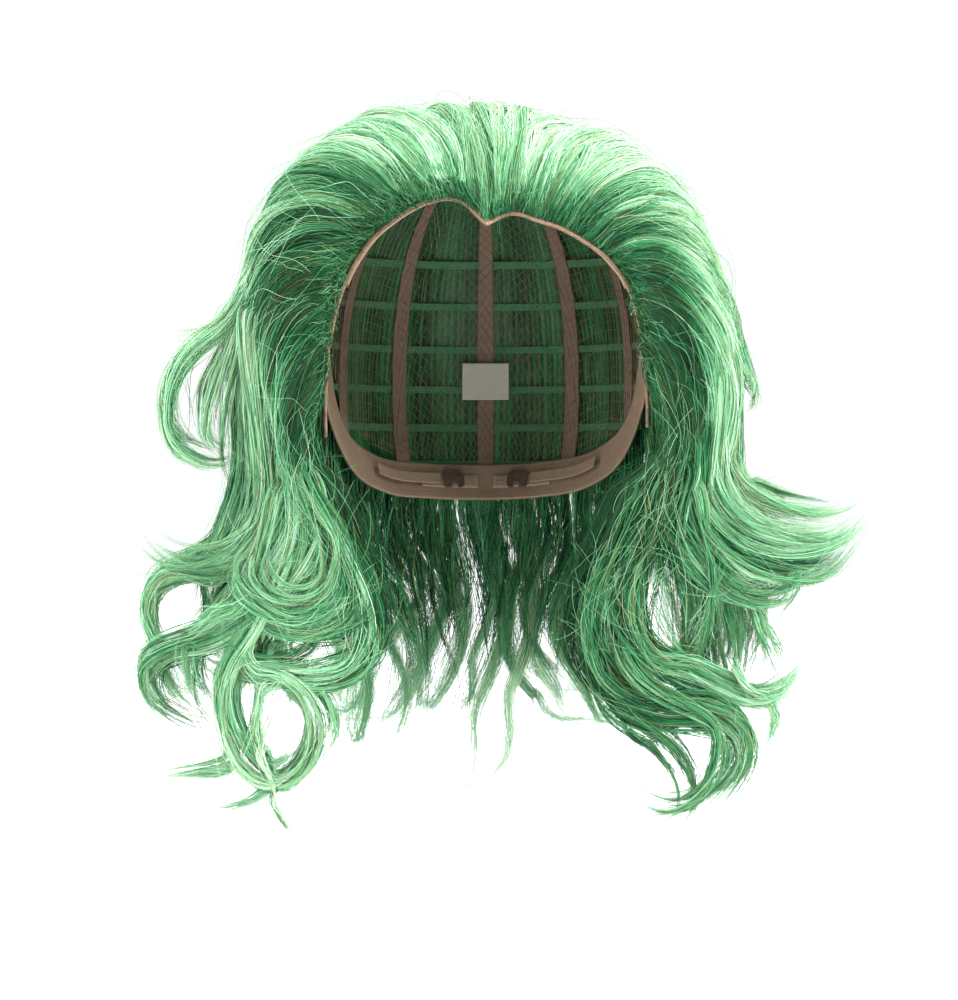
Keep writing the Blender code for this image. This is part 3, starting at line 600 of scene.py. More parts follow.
for k, (z, start) in enumerate(ROWS):
    start = max(start, float(next(t for t in np.arange(60.0, 180.0, 0.5) if t >= start and hem_z(t) < z - 0.0045)))  # it ends inside the hem
    dress(
        panel(f"weft_track_{k + 1}", start, 360 - start, lambda t, z=z: u_of_z(z + 0.0016) + 0 * t, lambda t, z=z: u_of_z(z - 0.0016) + 0 * t, 0.0042, 0.0053, 0.55, track, rows=9),
        WEFT, "cap", "weft", f"weft_row_{k + 1}",
    )
for k, back in enumerate((0.075, 0.165)):
    dress(
        panel(f"front_track_{k + 1}", -57, 57, lambda t, b=back: hem_u(t) - b - 0.030, lambda t, b=back: hem_u(t) - b, BAND_OUT + 0.0009, BAND_OUT + 0.0020, 0.55, track, rows=9),
        WEFT, "cap", "weft", f"hairline_weft_{k + 1}",
    )

# ---------------------------------------------------------------- hair: flow lines in millimetres, root to the end of the sheet
# Each starts at the hairline and sweeps up and back. The eleven points of every line match its neighbours', so a sheet runs between them.
FLOW = {
    # the viewer's left, from the ear to the middle
    "L9": [(-72, -20, -114), (-74, -32, -122), (-75, -37, -138), (-73, -37, -154), (-68, -36, -170), (-61, -34, -186), (-55, -32, -202), (-53, -31, -217), (-57, -32, -228), (-67, -33, -234), (-80, -34, -236)],
    "L8": [(-70, -24, -106), (-74, -37, -111), (-80, -42, -122), (-85, -41, -136), (-84, -38, -151), (-77, -36, -166), (-70, -35, -179), (-66, -35, -192), (-71, -35, -204), (-83, -35, -210), (-96, -35, -208)],
    "L7": [(-67, -33, -86), (-73, -45, -85), (-82, -48, -92), (-90, -44, -106), (-93, -38, -122), (-91, -34, -138), (-88, -32, -153), (-87, -31, -168), (-91, -30, -183), (-100, -29, -197), (-112, -28, -208)],
    "L6": [(-62, -40, -66), (-71, -51, -62), (-83, -53, -64), (-94, -46, -75), (-100, -36, -90), (-100, -28, -105), (-97, -24, -120), (-94, -22, -134), (-95, -22, -148), (-99, -22, -162), (-106, -22, -175)],
    "L5": [(-55, -47, -47), (-65, -58, -43), (-79, -59, -42), (-93, -48, -47), (-105, -30, -60), (-112, -10, -78), (-114, 4, -97), (-114, 12, -116), (-113, 16, -134), (-114, 18, -152), (-118, 17, -169)],
    "L4": [(-48, -54, -38), (-56, -65, -32), (-69, -67, -26), (-84, -57, -23), (-99, -36, -28), (-110, -8, -43), (-115, 16, -62), (-116, 36, -83), (-114, 48, -104), (-112, 54, -124), (-110, 56, -144)],
    "L3": [(-38, -60, -31), (-44, -71, -24), (-55, -75, -14), (-69, -67, -7), (-86, -46, -7), (-99, -14, -17), (-106, 20, -37), (-106, 50, -63), (-103, 68, -90), (-99, 76, -114), (-96, 80, -136)],
    "L2": [(-26, -64, -27), (-30, -76, -19), (-38, -81, -6), (-50, -75, 4), (-66, -57, 8), (-80, -25, 4), (-89, 18, -12), (-90, 58, -40), (-85, 86, -74), (-80, 100, -106), (-77, 106, -134)],
    "L1": [(-12, -68, -27), (-14, -79, -17), (-18, -83, -2), (-26, -77, 10), (-38, -60, 18), (-51, -32, 20), (-61, 10, 14), (-65, 56, -10), (-60, 92, -50), (-54, 114, -92), (-50, 122, -126)],
    "C": [(3, -70, -34), (2, -80, -22), (1, -84, -6), (-1, -77, 9), (-3, -57, 20), (-5, -24, 26), (-6, 20, 23), (-7, 66, 2), (-7, 103, -38), (-7, 126, -82), (-7, 134, -120)],
    "R1": [(14, -68, -29), (16, -79, -19), (19, -83, -4), (23, -77, 6), (28, -57, 14), (34, -26, 19), (40, 20, 17), (43, 62, -2), (43, 97, -42), (41, 118, -86), (38, 126, -122)],
    "R2": [(26, -64, -28), (31, -75, -21), (38, -80, -10), (47, -74, 0), (58, -56, 5), (69, -27, 5), (78, 14, -4), (82, 54, -28), (80, 84, -62), (76, 99, -96), (73, 105, -128)],
    "R3": [(38, -60, -33), (45, -71, -28), (55, -75, -19), (68, -67, -12), (82, -47, -11), (94, -17, -18), (101, 17, -34), (102, 47, -58), (99, 66, -84), (95, 76, -110), (92, 80, -134)],
    "R4": [(48, -54, -39), (57, -64, -35), (69, -66, -30), (83, -57, -29), (97, -38, -35), (107, -11, -49), (112, 14, -67), (112, 34, -87), (110, 46, -107), (108, 52, -127), (107, 54, -146)],
    "R5": [(55, -47, -48), (65, -58, -46), (79, -58, -46), (93, -48, -52), (105, -30, -64), (113, -9, -80), (116, 8, -97), (115, 18, -113), (114, 22, -127), (114, 22, -139), (119, 19, -150)],
    "R6": [(62, -40, -66), (70, -51, -65), (82, -53, -69), (94, -44, -80), (102, -31, -94), (105, -18, -109), (104, -10, -124), (102, -6, -138), (102, -6, -151), (106, -8, -164), (115, -10, -175)],
    "R7": [(66, -33, -85), (73, -45, -86), (82, -48, -94), (89, -42, -108), (92, -34, -124), (91, -28, -140), (91, -25, -154), (94, -24, -168), (100, -24, -180), (107, -24, -189), (116, -24, -195)],
    "R8": [(70, -24, -106), (75, -37, -111), (80, -41, -124), (82, -40, -141), (80, -36, -157), (75, -34, -171), (69, -34, -184), (66, -34, -197), (68, -34, -209), (75, -34, -220), (85, -33, -228)],
    "R9": [(72, -20, -114), (73, -32, -123), (71, -37, -139), (66, -37, -153), (60, -35, -169), (53, -33, -186), (48, -32, -203), (47, -32, -218), (51, -33, -235), (65, -35, -246), (84, -36, -250)],
}
# painted light and shade over the sheet, at every other point of each line: the roots and the valleys behind the
# temples get painted shade in deep green, and the crown gets a painted highlight in mint where the top light falls
PAINTED_LIGHT_AND_SHADE = {
    "L9": (-0.36, -0.34, -0.30, -0.20, -0.12, -0.04), "L8": (-0.36, -0.40, -0.34, -0.20, -0.10, -0.04), "L7": (-0.38, -0.42, -0.26, -0.08, 0.0, 0.04),
    "L6": (-0.38, -0.42, -0.20, -0.04, 0.02, 0.04), "L5": (-0.36, -0.40, -0.24, -0.02, 0.04, 0.04), "L4": (-0.36, -0.38, -0.20, 0.02, 0.06, 0.04),
    "L3": (-0.34, -0.18, 0.04, 0.14, 0.10, 0.02), "L2": (-0.28, 0.06, 0.20, 0.20, 0.12, 0.04), "L1": (-0.22, 0.14, 0.24, 0.22, 0.10, 0.0),
    "C": (-0.30, -0.06, 0.04, 0.08, 0.04, 0.0), "R1": (-0.24, 0.12, 0.22, 0.18, 0.08, 0.0), "R2": (-0.32, 0.10, 0.26, 0.24, 0.10, 0.02),
    "R3": (-0.36, 0.0, 0.28, 0.28, 0.14, 0.04), "R4": (-0.38, -0.12, 0.28, 0.30, 0.16, 0.06), "R5": (-0.40, -0.26, 0.18, 0.28, 0.16, 0.14),
    "R6": (-0.42, -0.42, -0.10, 0.06, 0.06, 0.10), "R7": (-0.42, -0.48, -0.44, -0.34, -0.20, -0.08), "R8": (-0.42, -0.48, -0.46, -0.40, -0.28, -0.12),
    "R9": (-0.40, -0.46, -0.46, -0.42, -0.34, -0.20),
}


def seen(points, y0, y1, coil=7.0, back=12.0):
    """Keys (x, y, z) from points (x, z) as they look from the front camera, coiling in depth from y0 to y1 and a little further back."""
    out = []
    phase = (points[0][0] * 0.37 + points[-1][1] * 0.23) % 6.28
    for i, (x, z) in enumerate(points):
        t = i / max(len(points) - 1, 1)
        y = y0 + (y1 - y0) * t + back * t * t + coil * math.sin(5.2 * t + phase) * t
        k = (1600 + y) / 1600
        out.append((-3.2 + (x + 3.2) * k, y, -155 + (z + 155) * k))
    return out


# how each line goes on: the curl at its end, then the lock's half width in millimetres where it starts and in the curl
TAIL = {
    "L9": (seen([(-93, -237), (-105, -236), (-115, -234), (-125, -231), (-132, -226), (-135, -220)], -33, -18), 6, 3.0),
    "L8": (seen([(-108, -202), (-114, -192), (-112, -182), (-104, -176), (-95, -177), (-90, -184)], -35, -26), 8, 6.5),
    "L7": (seen([(-125, -216), (-137, -220), (-149, -224), (-157, -229), (-158.5, -237), (-155, -246), (-147, -252), (-137, -257), (-128, -260), (-119, -259)], -26, 12), 8, 3.2),
    "L6": (seen([(-116, -184), (-129, -188), (-142, -187.5), (-152, -183), (-158, -177), (-163, -170)], -21, -4), 10, 4.6),
    "L5": (seen([(-128, -181), (-141, -186), (-151, -191), (-155.5, -202), (-155, -214), (-151.5, -226), (-146.5, -237), (-140, -246), (-132, -250), (-125, -246)], 17, 34), 9, 3.8),
    "L4": (seen([(-113, -162), (-117, -182), (-123, -198), (-132, -210), (-139, -219), (-141, -230), (-138, -241), (-131, -251), (-121, -260)], 50, 24), 11, 4.2),
    "L3": ([(-94, 80, -158), (-92, 78, -180), (-94, 74, -200), (-101, 70, -216), (-106, 66, -232), (-103, 62, -247), (-94, 60, -256)], 16, 12),
    "R5": (seen([(128, -156), (140, -160), (152, -162), (163, -160), (172.5, -155)], 18, 10), 11, 8),
    "R6": (seen([(127, -183), (140, -187), (152, -186), (161, -181), (168, -172), (172.5, -163)], -11, -4), 10, 6),
    "R7": (seen([(126, -198), (135, -197), (142, -191), (145, -184)], -23, -12), 7, 3.4),
    "R8": (seen([(95, -231), (104, -236), (113, -241), (122, -245.5), (131, -245.5), (138, -241), (143, -235), (145, -228)], -32, -10), 6, 4.4),
    "R9": (seen([(102, -252), (114, -257), (119.5, -266), (118, -276), (109, -286), (98, -293), (87, -296), (77, -295.5), (68, -291), (62, -285)], -34, -22), 8, 4.6),
    "R4": ([(108, 50, -166), (112, 44, -184), (118, 38, -200), (120, 34, -217), (115, 32, -232), (108, 32, -246), (104, 34, -258)], 12, 8),
    "R3": ([(90, 80, -158), (89, 78, -180), (92, 74, -200), (98, 70, -216), (101, 66, -232), (96, 62, -246), (88, 60, -254)], 16, 12),
}


def back_tail(x, y, z, out):
    """The back's locks hang in long waves, draw in towards the neck and turn over at the ends."""
    low = -252 - 10 * math.cos(x * 0.05) - 6 * math.sin(x * 0.13)
    keys = []
    n = 8
    for i in range(1, n + 1):
        k = i / n
        zz = z + (low - z) * k
        wave = 11.0 * math.sin(k * 8.6 + out) * k
        draw = 1 - 0.24 * float(smooth(k, 0.2, 0.8))
        bulge = y - 22 * float(smooth(k, 0.15, 0.75)) + 8 * math.sin(k * 8.2 + out * 1.7) * (0.4 + 0.6 * k)
        keys.append((x * draw + wave, bulge, zz))
    x0, y0, z0 = keys[-1]
    side = 1 if x > 0 else -1
    turn = 14 + 3 * math.sin(out * 2.3)
    for a in (40, 85, 130, 175, 220):
        w = math.radians(a)
        keys.append((x0 + side * turn * 0.6 * (1 - math.cos(w)), y0 + turn * (1 - math.cos(w)), z0 - turn * math.sin(w)))
    return keys


for i, name in enumerate(("L2", "L1", "C", "R1", "R2")):
    TAIL[name] = (back_tail(*FLOW[name][-1], 1.3 * i + 0.4), 23, 17)

ORDER = ["L9", "L8", "L7", "L6", "L5", "L4", "L3", "L2", "L1", "C", "R1", "R2", "R3", "R4", "R5", "R6", "R7", "R8", "R9"]
G = len(ORDER)
GRID = np.array([FLOW[k] for k in ORDER], float) * MM  # (19, 11, 3)
GRID[:, 1:4, 1] += np.array([0.0012, 0.0034, 0.0032])  # the sheet rises from the edge more than it leans forward
# the sheet's painted light and shade, with the painted shade made a little deeper
SHEET_PAINTED_LIGHT = np.array([PAINTED_LIGHT_AND_SHADE[k] for k in ORDER])
SHEET_PAINTED_LIGHT = np.where(SHEET_PAINTED_LIGHT < 0, SHEET_PAINTED_LIGHT * 1.15, SHEET_PAINTED_LIGHT)
LINES = np.stack([catmull(g, np.linspace(0, 10, 201)) for g in GRID])
ROOT_T = np.degrees(np.arctan2(GRID[:, 0, 0], HEAD_Y - GRID[:, 0, 1]))
BODY_OF = {k: ("left_side_hair" if k in ("L9", "L8", "L7", "L6", "L5", "L4", "L3") else "right_side_hair" if k in ("R9", "R8", "R7", "R6", "R5", "R4", "R3") else "back_hair") for k in ORDER}
GROUPS = {"left_side_hair": [], "right_side_hair": [], "back_hair": []}
CENTRE = np.array([0.0, 0.006, -0.095])


def sheet_at(A, K):
    """The outer sheet between flow lines: A counts lines, K their points."""
    A = np.clip(A, 0, G - 1 - 1e-6)
    i = A.astype(int)
    f = (A - i)[..., None]
    kf = np.clip(K, 0, 10) * 20
    k0 = np.minimum(kf.astype(int), 199)
    t = (kf - k0)[..., None]

    def row(j):
        j = np.clip(j, 0, G - 1)
        return LINES[j, k0] * (1 - t) + LINES[j, k0 + 1] * t

    p0, p1, p2, p3 = row(i - 1), row(i), row(i + 1), row(i + 2)
    return 0.5 * (2 * p1 + (p2 - p0) * f + (2 * p0 - 5 * p1 + 4 * p2 - p3) * f**2 + (3 * p1 - p0 - 3 * p2 + p3) * f**3)


# the painted light and shade of the sheet at (A, K), read from the table
def painted_sheet_light(A, K):
    A = np.clip(A, 0, G - 1 - 1e-6)
    i = A.astype(int)
    f = A - i
    kf = np.clip(K / 2, 0, 5 - 1e-6)
    k0 = kf.astype(int)
    t = kf - k0
    return (SHEET_PAINTED_LIGHT[i, k0] * (1 - t) + SHEET_PAINTED_LIGHT[i, k0 + 1] * t) * (1 - f) + (SHEET_PAINTED_LIGHT[i + 1, k0] * (1 - t) + SHEET_PAINTED_LIGHT[i + 1, k0 + 1] * t) * f


def outward(P):
    """Away from the head: the way a sheet's layers stack."""
    d = P - CENTRE
    d[..., 2] *= np.where(P[..., 2] < CENTRE[2], 0.0, 1.0)
    return unit(d)


def lock_frame(P):
    """Tangent, width direction and depth direction along a guide (M, 3). The width lies in the sheet."""
    T = unit(np.gradient(P, axis=0))
    n = outward(P.copy())
    n = n * 0.55 + np.array([0, -0.45, 0]) * (P[:, 1:2] < 0.035)
    W = unit(np.cross(n, T))
    for j in range(1, len(W)):  # keep it from turning over in a curl
        if (W[j] * W[j - 1]).sum() < 0:
            W[j] = -W[j]
    return T, W, unit(np.cross(T, W))


def radii(n, m, r, tip=0.22, s=None):
    s = np.linspace(0, 1, m)[None, :] if s is None else s
    body = 1 - (1 - tip) * smooth(s, 0.72, 1.0)
    root = 0.72 + 0.28 * smooth(s, 0.0, 0.05)
    return r * rng.uniform(0.8, 1.2, (n, 1)) * body * root


GOLD_SHARE = 0.15


def paint(n, m, tone, depth, wisp, s=None, root=0.10, spread=0.09):
    """tone per strand with its wisp's and its own, with painted shade at the root and on the strands that lie deep
    down.
    """
    s = np.linspace(0, 1, m)[None, :] if s is None else s
    own = rng.normal(0, spread, (n, 1)) + (rng.random((n, 1)) < 0.08) * 0.15 - (rng.random((n, 1)) < 0.10) * 0.18
    # depth is painted shade: deeper strands are darkened as if in the shadow of the hair over them
    t = tone + wisp[:, None] + own - depth[:, None]
    # root sets the painted shade at the root, where the strands lie in the hair's shadow
    t = t - root * (1 - smooth(s, 0.0, 0.10))
    t = t + 0.03 * smooth(s, 0.6, 1.0) + 0.03 * np.sin(s * 17 + rng.uniform(0, 6.28, (n, 1)))
    gold = (rng.random(n) < GOLD_SHARE) * rng.uniform(0.35, 0.95, n)
    return {"tone": np.clip(t, 0.0, 1.0), "gold": np.broadcast_to(gold[:, None], (n, m)), "along": np.broadcast_to(s, (n, m))}


# ---------------------------------------------------------------- the sheet that runs into the locks
SHARE = 1.0
STRAND_R = 0.000165
WEIGHT = [0.62, 0.80, 0.85, 1.05, 1.05, 1.0, 1.1, 1.4, 1.45, 1.4, 1.45, 1.4, 1.1, 1.05, 1.05, 1.05, 0.95, 0.85, 0.80]


def full_locks(count, depth_mm, r, m, start=0.0, tone=0.66, y_push=0.0, dark=0.0, jitter=1.0, cut=(0.88, 1.0), subs=5, per_sub=4):
    """Strands that start in the sheet and gather, wisp by wisp, into the locks of the nearest flow line."""
    for gi, key in enumerate(ORDER):
        n_all = int(count * WEIGHT[gi] * SHARE)
        tail, w0, w1 = TAIL[key]
        tail = np.array(tail, float)
        back = key in ("L2", "L1", "C", "R1", "R2")
        for v in range(subs):
            n = n_all // subs
            if n < 4:
                continue
            c_v = (v + 0.5) / subs * 2 - 1
            # this part of the lock takes its own curl: a little larger or smaller, higher or lower, nearer or farther
            kk = np.linspace(1 / len(tail), 1, len(tail))[:, None]
            mid = tail.mean(0)
            grow = 1 + rng.normal(0, 0.07)
            off = rng.normal(0, 1, 3) * (np.array([6.0, 7.0, 13.0]) if back else np.array([2.0, 7.0, 2.4]))
            mine = mid + (tail - mid) * (1 + (grow - 1) * kk) + off * smooth(kk, 0.0, 0.9)
            keys = np.concatenate([GRID[gi] / MM, mine])
            k_end = len(keys) - 1
            pos = even(keys * MM, 0.010)
            which = rng.integers(0, per_sub, n)
            a_w = gi + 0.5 * c_v + rng.uniform(-0.5, 0.5, per_sub) * 1.3 / subs
            d_w = rng.random(per_sub) ** 1.2
            len_w = rng.uniform(0.88, 1.0, per_sub) * (rng.uniform(0.9, 1.0) if v % 2 else 1.0)
            tone_w = rng.normal(0, 0.12, per_sub)
            swing = rng.uniform(-1, 1, per_sub) * 0.30
            phase, rate = rng.uniform(0, 6.28, per_sub), rng.uniform(2.2, 5.5, per_sub)
            wander = wobble(per_sub, m, (1.3, 2.7), (1.5 * MM * jitter, 0.8 * MM * jitter))
            own = rng.uniform(-1, 1, n)
            depth = np.clip(d_w[which] * 0.75 + 0.25 * rng.random(n), 0, 1)
            length = rng.uniform(*cut, n) * len_w[which]
            s0 = start * rng.random(n)
            S = s0[:, None] + (length - s0)[:, None] * np.linspace(0, 1, m)[None, :]
            K = pos(S)
            pinch = 1 - 0.45 * smooth(K, 1.5, 6.0) + 0.18 * np.sin(K * 1.1 + phase[which][:, None])
            A = a_w[which][:, None] + own[:, None] * (0.62 / subs) * pinch
            A = A + (swing[which][:, None] * np.sin(K * rate[which][:, None] / 5.0 + phase[which][:, None])) * smooth(K, 0.8, 3.5)
            A = np.clip(A, 0.0, G - 1 - 1e-6)
            sheet = sheet_at(A, K)
            # roots stand along the cap's own edge, the deeper ones on the rows behind it
            at = np.interp(A[:, 0], np.arange(G), ROOT_T)
            hold = np.where((np.abs(at) > 58.5) & (np.abs(at) < 87), np.minimum(hem_u(at), u_of_z(TAB_TOP_Z + 0.001)), hem_u(at))  # the tabs hang free of the hair
            root = surf(at, hold - 0.004 - 0.13 * depth * (rng.random(n) * 0.6 + 0.4), 0.0029)
            if start == 0.0:
                sheet = sheet + (root - sheet_at(A[:, :1], np.zeros((n, 1)))[:, 0])[:, None, :] * (1 - smooth(K, 0.0, 1.5))[..., None]
            guide = catmull(keys * MM, K)
            gs = catmull(keys * MM, np.linspace(0, k_end, 300))
            T, W, D = lock_frame(gs)
            idx = np.clip((K / k_end * 299).astype(int), 0, 299)
            sign = np.sign(((GRID[min(gi + 1, G - 1)][9] - GRID[max(gi - 1, 0)][9]) * W[int(9 / k_end * 299)]).sum()) or 1.0
            kt = np.clip((K - 9.0) / max(k_end - 9.0, 1), 0, 1)
            place = (w0 + (w1 - w0) * smooth(kt, 0.0, 0.7)) * (1.15 - 0.45 * smooth(kt, 0.6, 1.0)) * MM
            half = np.maximum(w0 / subs * 0.85, 1.5 if not back else 3.2) * (1 - (0.55 if back else 0.70) * smooth(kt, 0.55, 1.0)) * MM
            across = 0.55 * (rng.uniform(-1, 1, per_sub)[which]) + 0.45 * own
            deep = 0.7 * (d_w[which] * 2 - 1) + 0.3 * rng.uniform(-1, 1, n)
            P_lock = guide + sign * W[idx] * (c_v * place + across[:, None] * half)[..., None] - D[idx] * (deep[:, None] * half * 0.8)[..., None]
            gather = smooth(K, 5.5, 10.0)[..., None]
            P = sheet * (1 - gather) + P_lock * gather
            inn = (depth_mm[0] + (depth_mm[1] - depth_mm[0]) * depth)[:, None] * MM * smooth(K, 0.2, 2.4) * (1 - 0.7 * gather[..., 0])
            P = P - outward(P.copy()) * inn[..., None]
            P += wander[which] * smooth(K, 1.5, 7.0)[..., None]
            P += wobble(n, m, (1.7, 4.2), (0.34 * MM * jitter, 0.07 * MM * jitter)) * smooth(S, 0.05, 0.3)[..., None]
            loose = rng.random(n) < 0.05
            P += (wobble(n, m, (0.8, 1.9), (2.6 * MM, 1.0 * MM)) * loose[:, None, None]) * smooth(S, 0.10, 0.6)[..., None]
            if y_push:
                P[..., 1] += y_push * MM * smooth(K, 5.0, 10.0)
            # the sheet's painted light and shade, fading out along the locks
            tone_with_painted_light = tone + painted_sheet_light(A, K) * (1 - smooth(K, 10.0, 12.0)) + 0.02 * smooth(K, 10.0, 12.0)
            # painted shade on the deeper strands, plus the layer's dark
            at_ = paint(n, m, tone_with_painted_light, 0.18 * depth + dark, tone_w[which] + rng.normal(0, 0.05), S)
            GROUPS[BODY_OF[key]].append((P, radii(n, m, r), at_))


full_locks(552, (0.0, 8.0), STRAND_R, 38)
# an inner layer under the sheet: dark adds painted shade for lying under it
full_locks(96, (6.0, 16.0), STRAND_R * 1.35, 26, start=0.25, tone=0.50, y_push=14, dark=0.06, jitter=1.6, cut=(0.80, 0.98), subs=3)


# ---------------------------------------------------------------- more locks that stand on their own
def lock(body, keys, n, w0, w1, tone=0.58, r=STRAND_R, m=28, thick=0.5, jitter=1.0, cut=(0.84, 1.0), subs=4, spread=1.0, tuck=True):
    """A lock along keys (x, y, z) in millimetres: w0 and w1 are its half widths at the start and middle."""
    n = max(6, int(n * SHARE))
    base = np.asarray(keys, float)
    if tuck:  # it starts out of sight, inside the hair
        first = base[0] + unit(CENTRE / MM - base[0]) * 9 + np.array([0, 5.0, 5.0])
        base = np.concatenate([first[None], base])
    for v in range(subs):
        k = n // subs
        if k < 3:
            continue
        kk = np.linspace(0, 1, len(base))[:, None]
        mid = base.mean(0)
        grow = 1 + rng.normal(0, 0.07) * spread
        off = rng.normal(0, 1, 3) * np.array([2.2, 4.5, 2.6]) * spread * min(1.0, w1 / 4)
        mine = mid + (base - mid) * (1 + (grow - 1) * kk) + off * smooth(kk, 0.0, 0.8)
        pos = even(mine * MM, 0.010)
        k_end = len(mine) - 1
        s0 = rng.uniform(0, 0.10, k)[:, None]
        S = s0 + ((rng.uniform(*cut, k) * rng.uniform(0.92, 1.0))[:, None] - s0) * np.linspace(0, 1, m)[None, :]
        K = pos(S)
        gs = catmull(mine * MM, np.linspace(0, k_end, 200))
        T, W, D = lock_frame(gs)
        idx = np.clip((K / k_end * 199).astype(int), 0, 199)
        place = (w0 + (w1 - w0) * smooth(S, 0.0, 0.45)) * (1 - 0.5 * smooth(S, 0.6, 1.0)) * MM
        half = max(w1 / subs * 0.95, 1.15) * (0.35 + 0.65 * smooth(S, 0.0, 0.12)) * (1 - 0.72 * smooth(S, 0.62, 1.0)) * MM
        c_v = (v + 0.5) / subs * 2 - 1
        pairs = rng.integers(0, 3, k)
        across = 0.5 * rng.uniform(-1, 1, 3)[pairs] + 0.5 * rng.uniform(-1, 1, k)
        deep = 0.5 * rng.uniform(-1, 1, 3)[pairs] + 0.5 * rng.uniform(-1, 1, k)
        P = catmull(mine * MM, K) + W[idx] * (c_v * place * 0.95 + across[:, None] * half)[..., None] + D[idx] * (deep[:, None] * half * thick * 1.6)[..., None]
        wander = wobble(3, m, (1.2, 2.4), (1.0 * MM * jitter, 0.5 * MM * jitter))
        P += wander[pairs] * smooth(S, 0.05, 0.5)[..., None] + wobble(k, m, (1.6, 4.0), (0.36 * MM * jitter, 0.08 * MM * jitter))
        loose = rng.random(k) < 0.09
        P += (wobble(k, m, (0.8, 2.0), (2.6 * MM, 1.1 * MM)) * loose[:, None, None]) * smooth(S, 0.1, 0.6)[..., None]
        # painted shade on the lock's deeper strands, and root=0.20 puts painted shade at its root
        GROUPS[body].append((P, radii(k, m, r), paint(k, m, tone + 0.05, 0.10 * (0.5 - 0.5 * deep), np.full(k, rng.normal(0, 0.09)), S, root=0.20)))


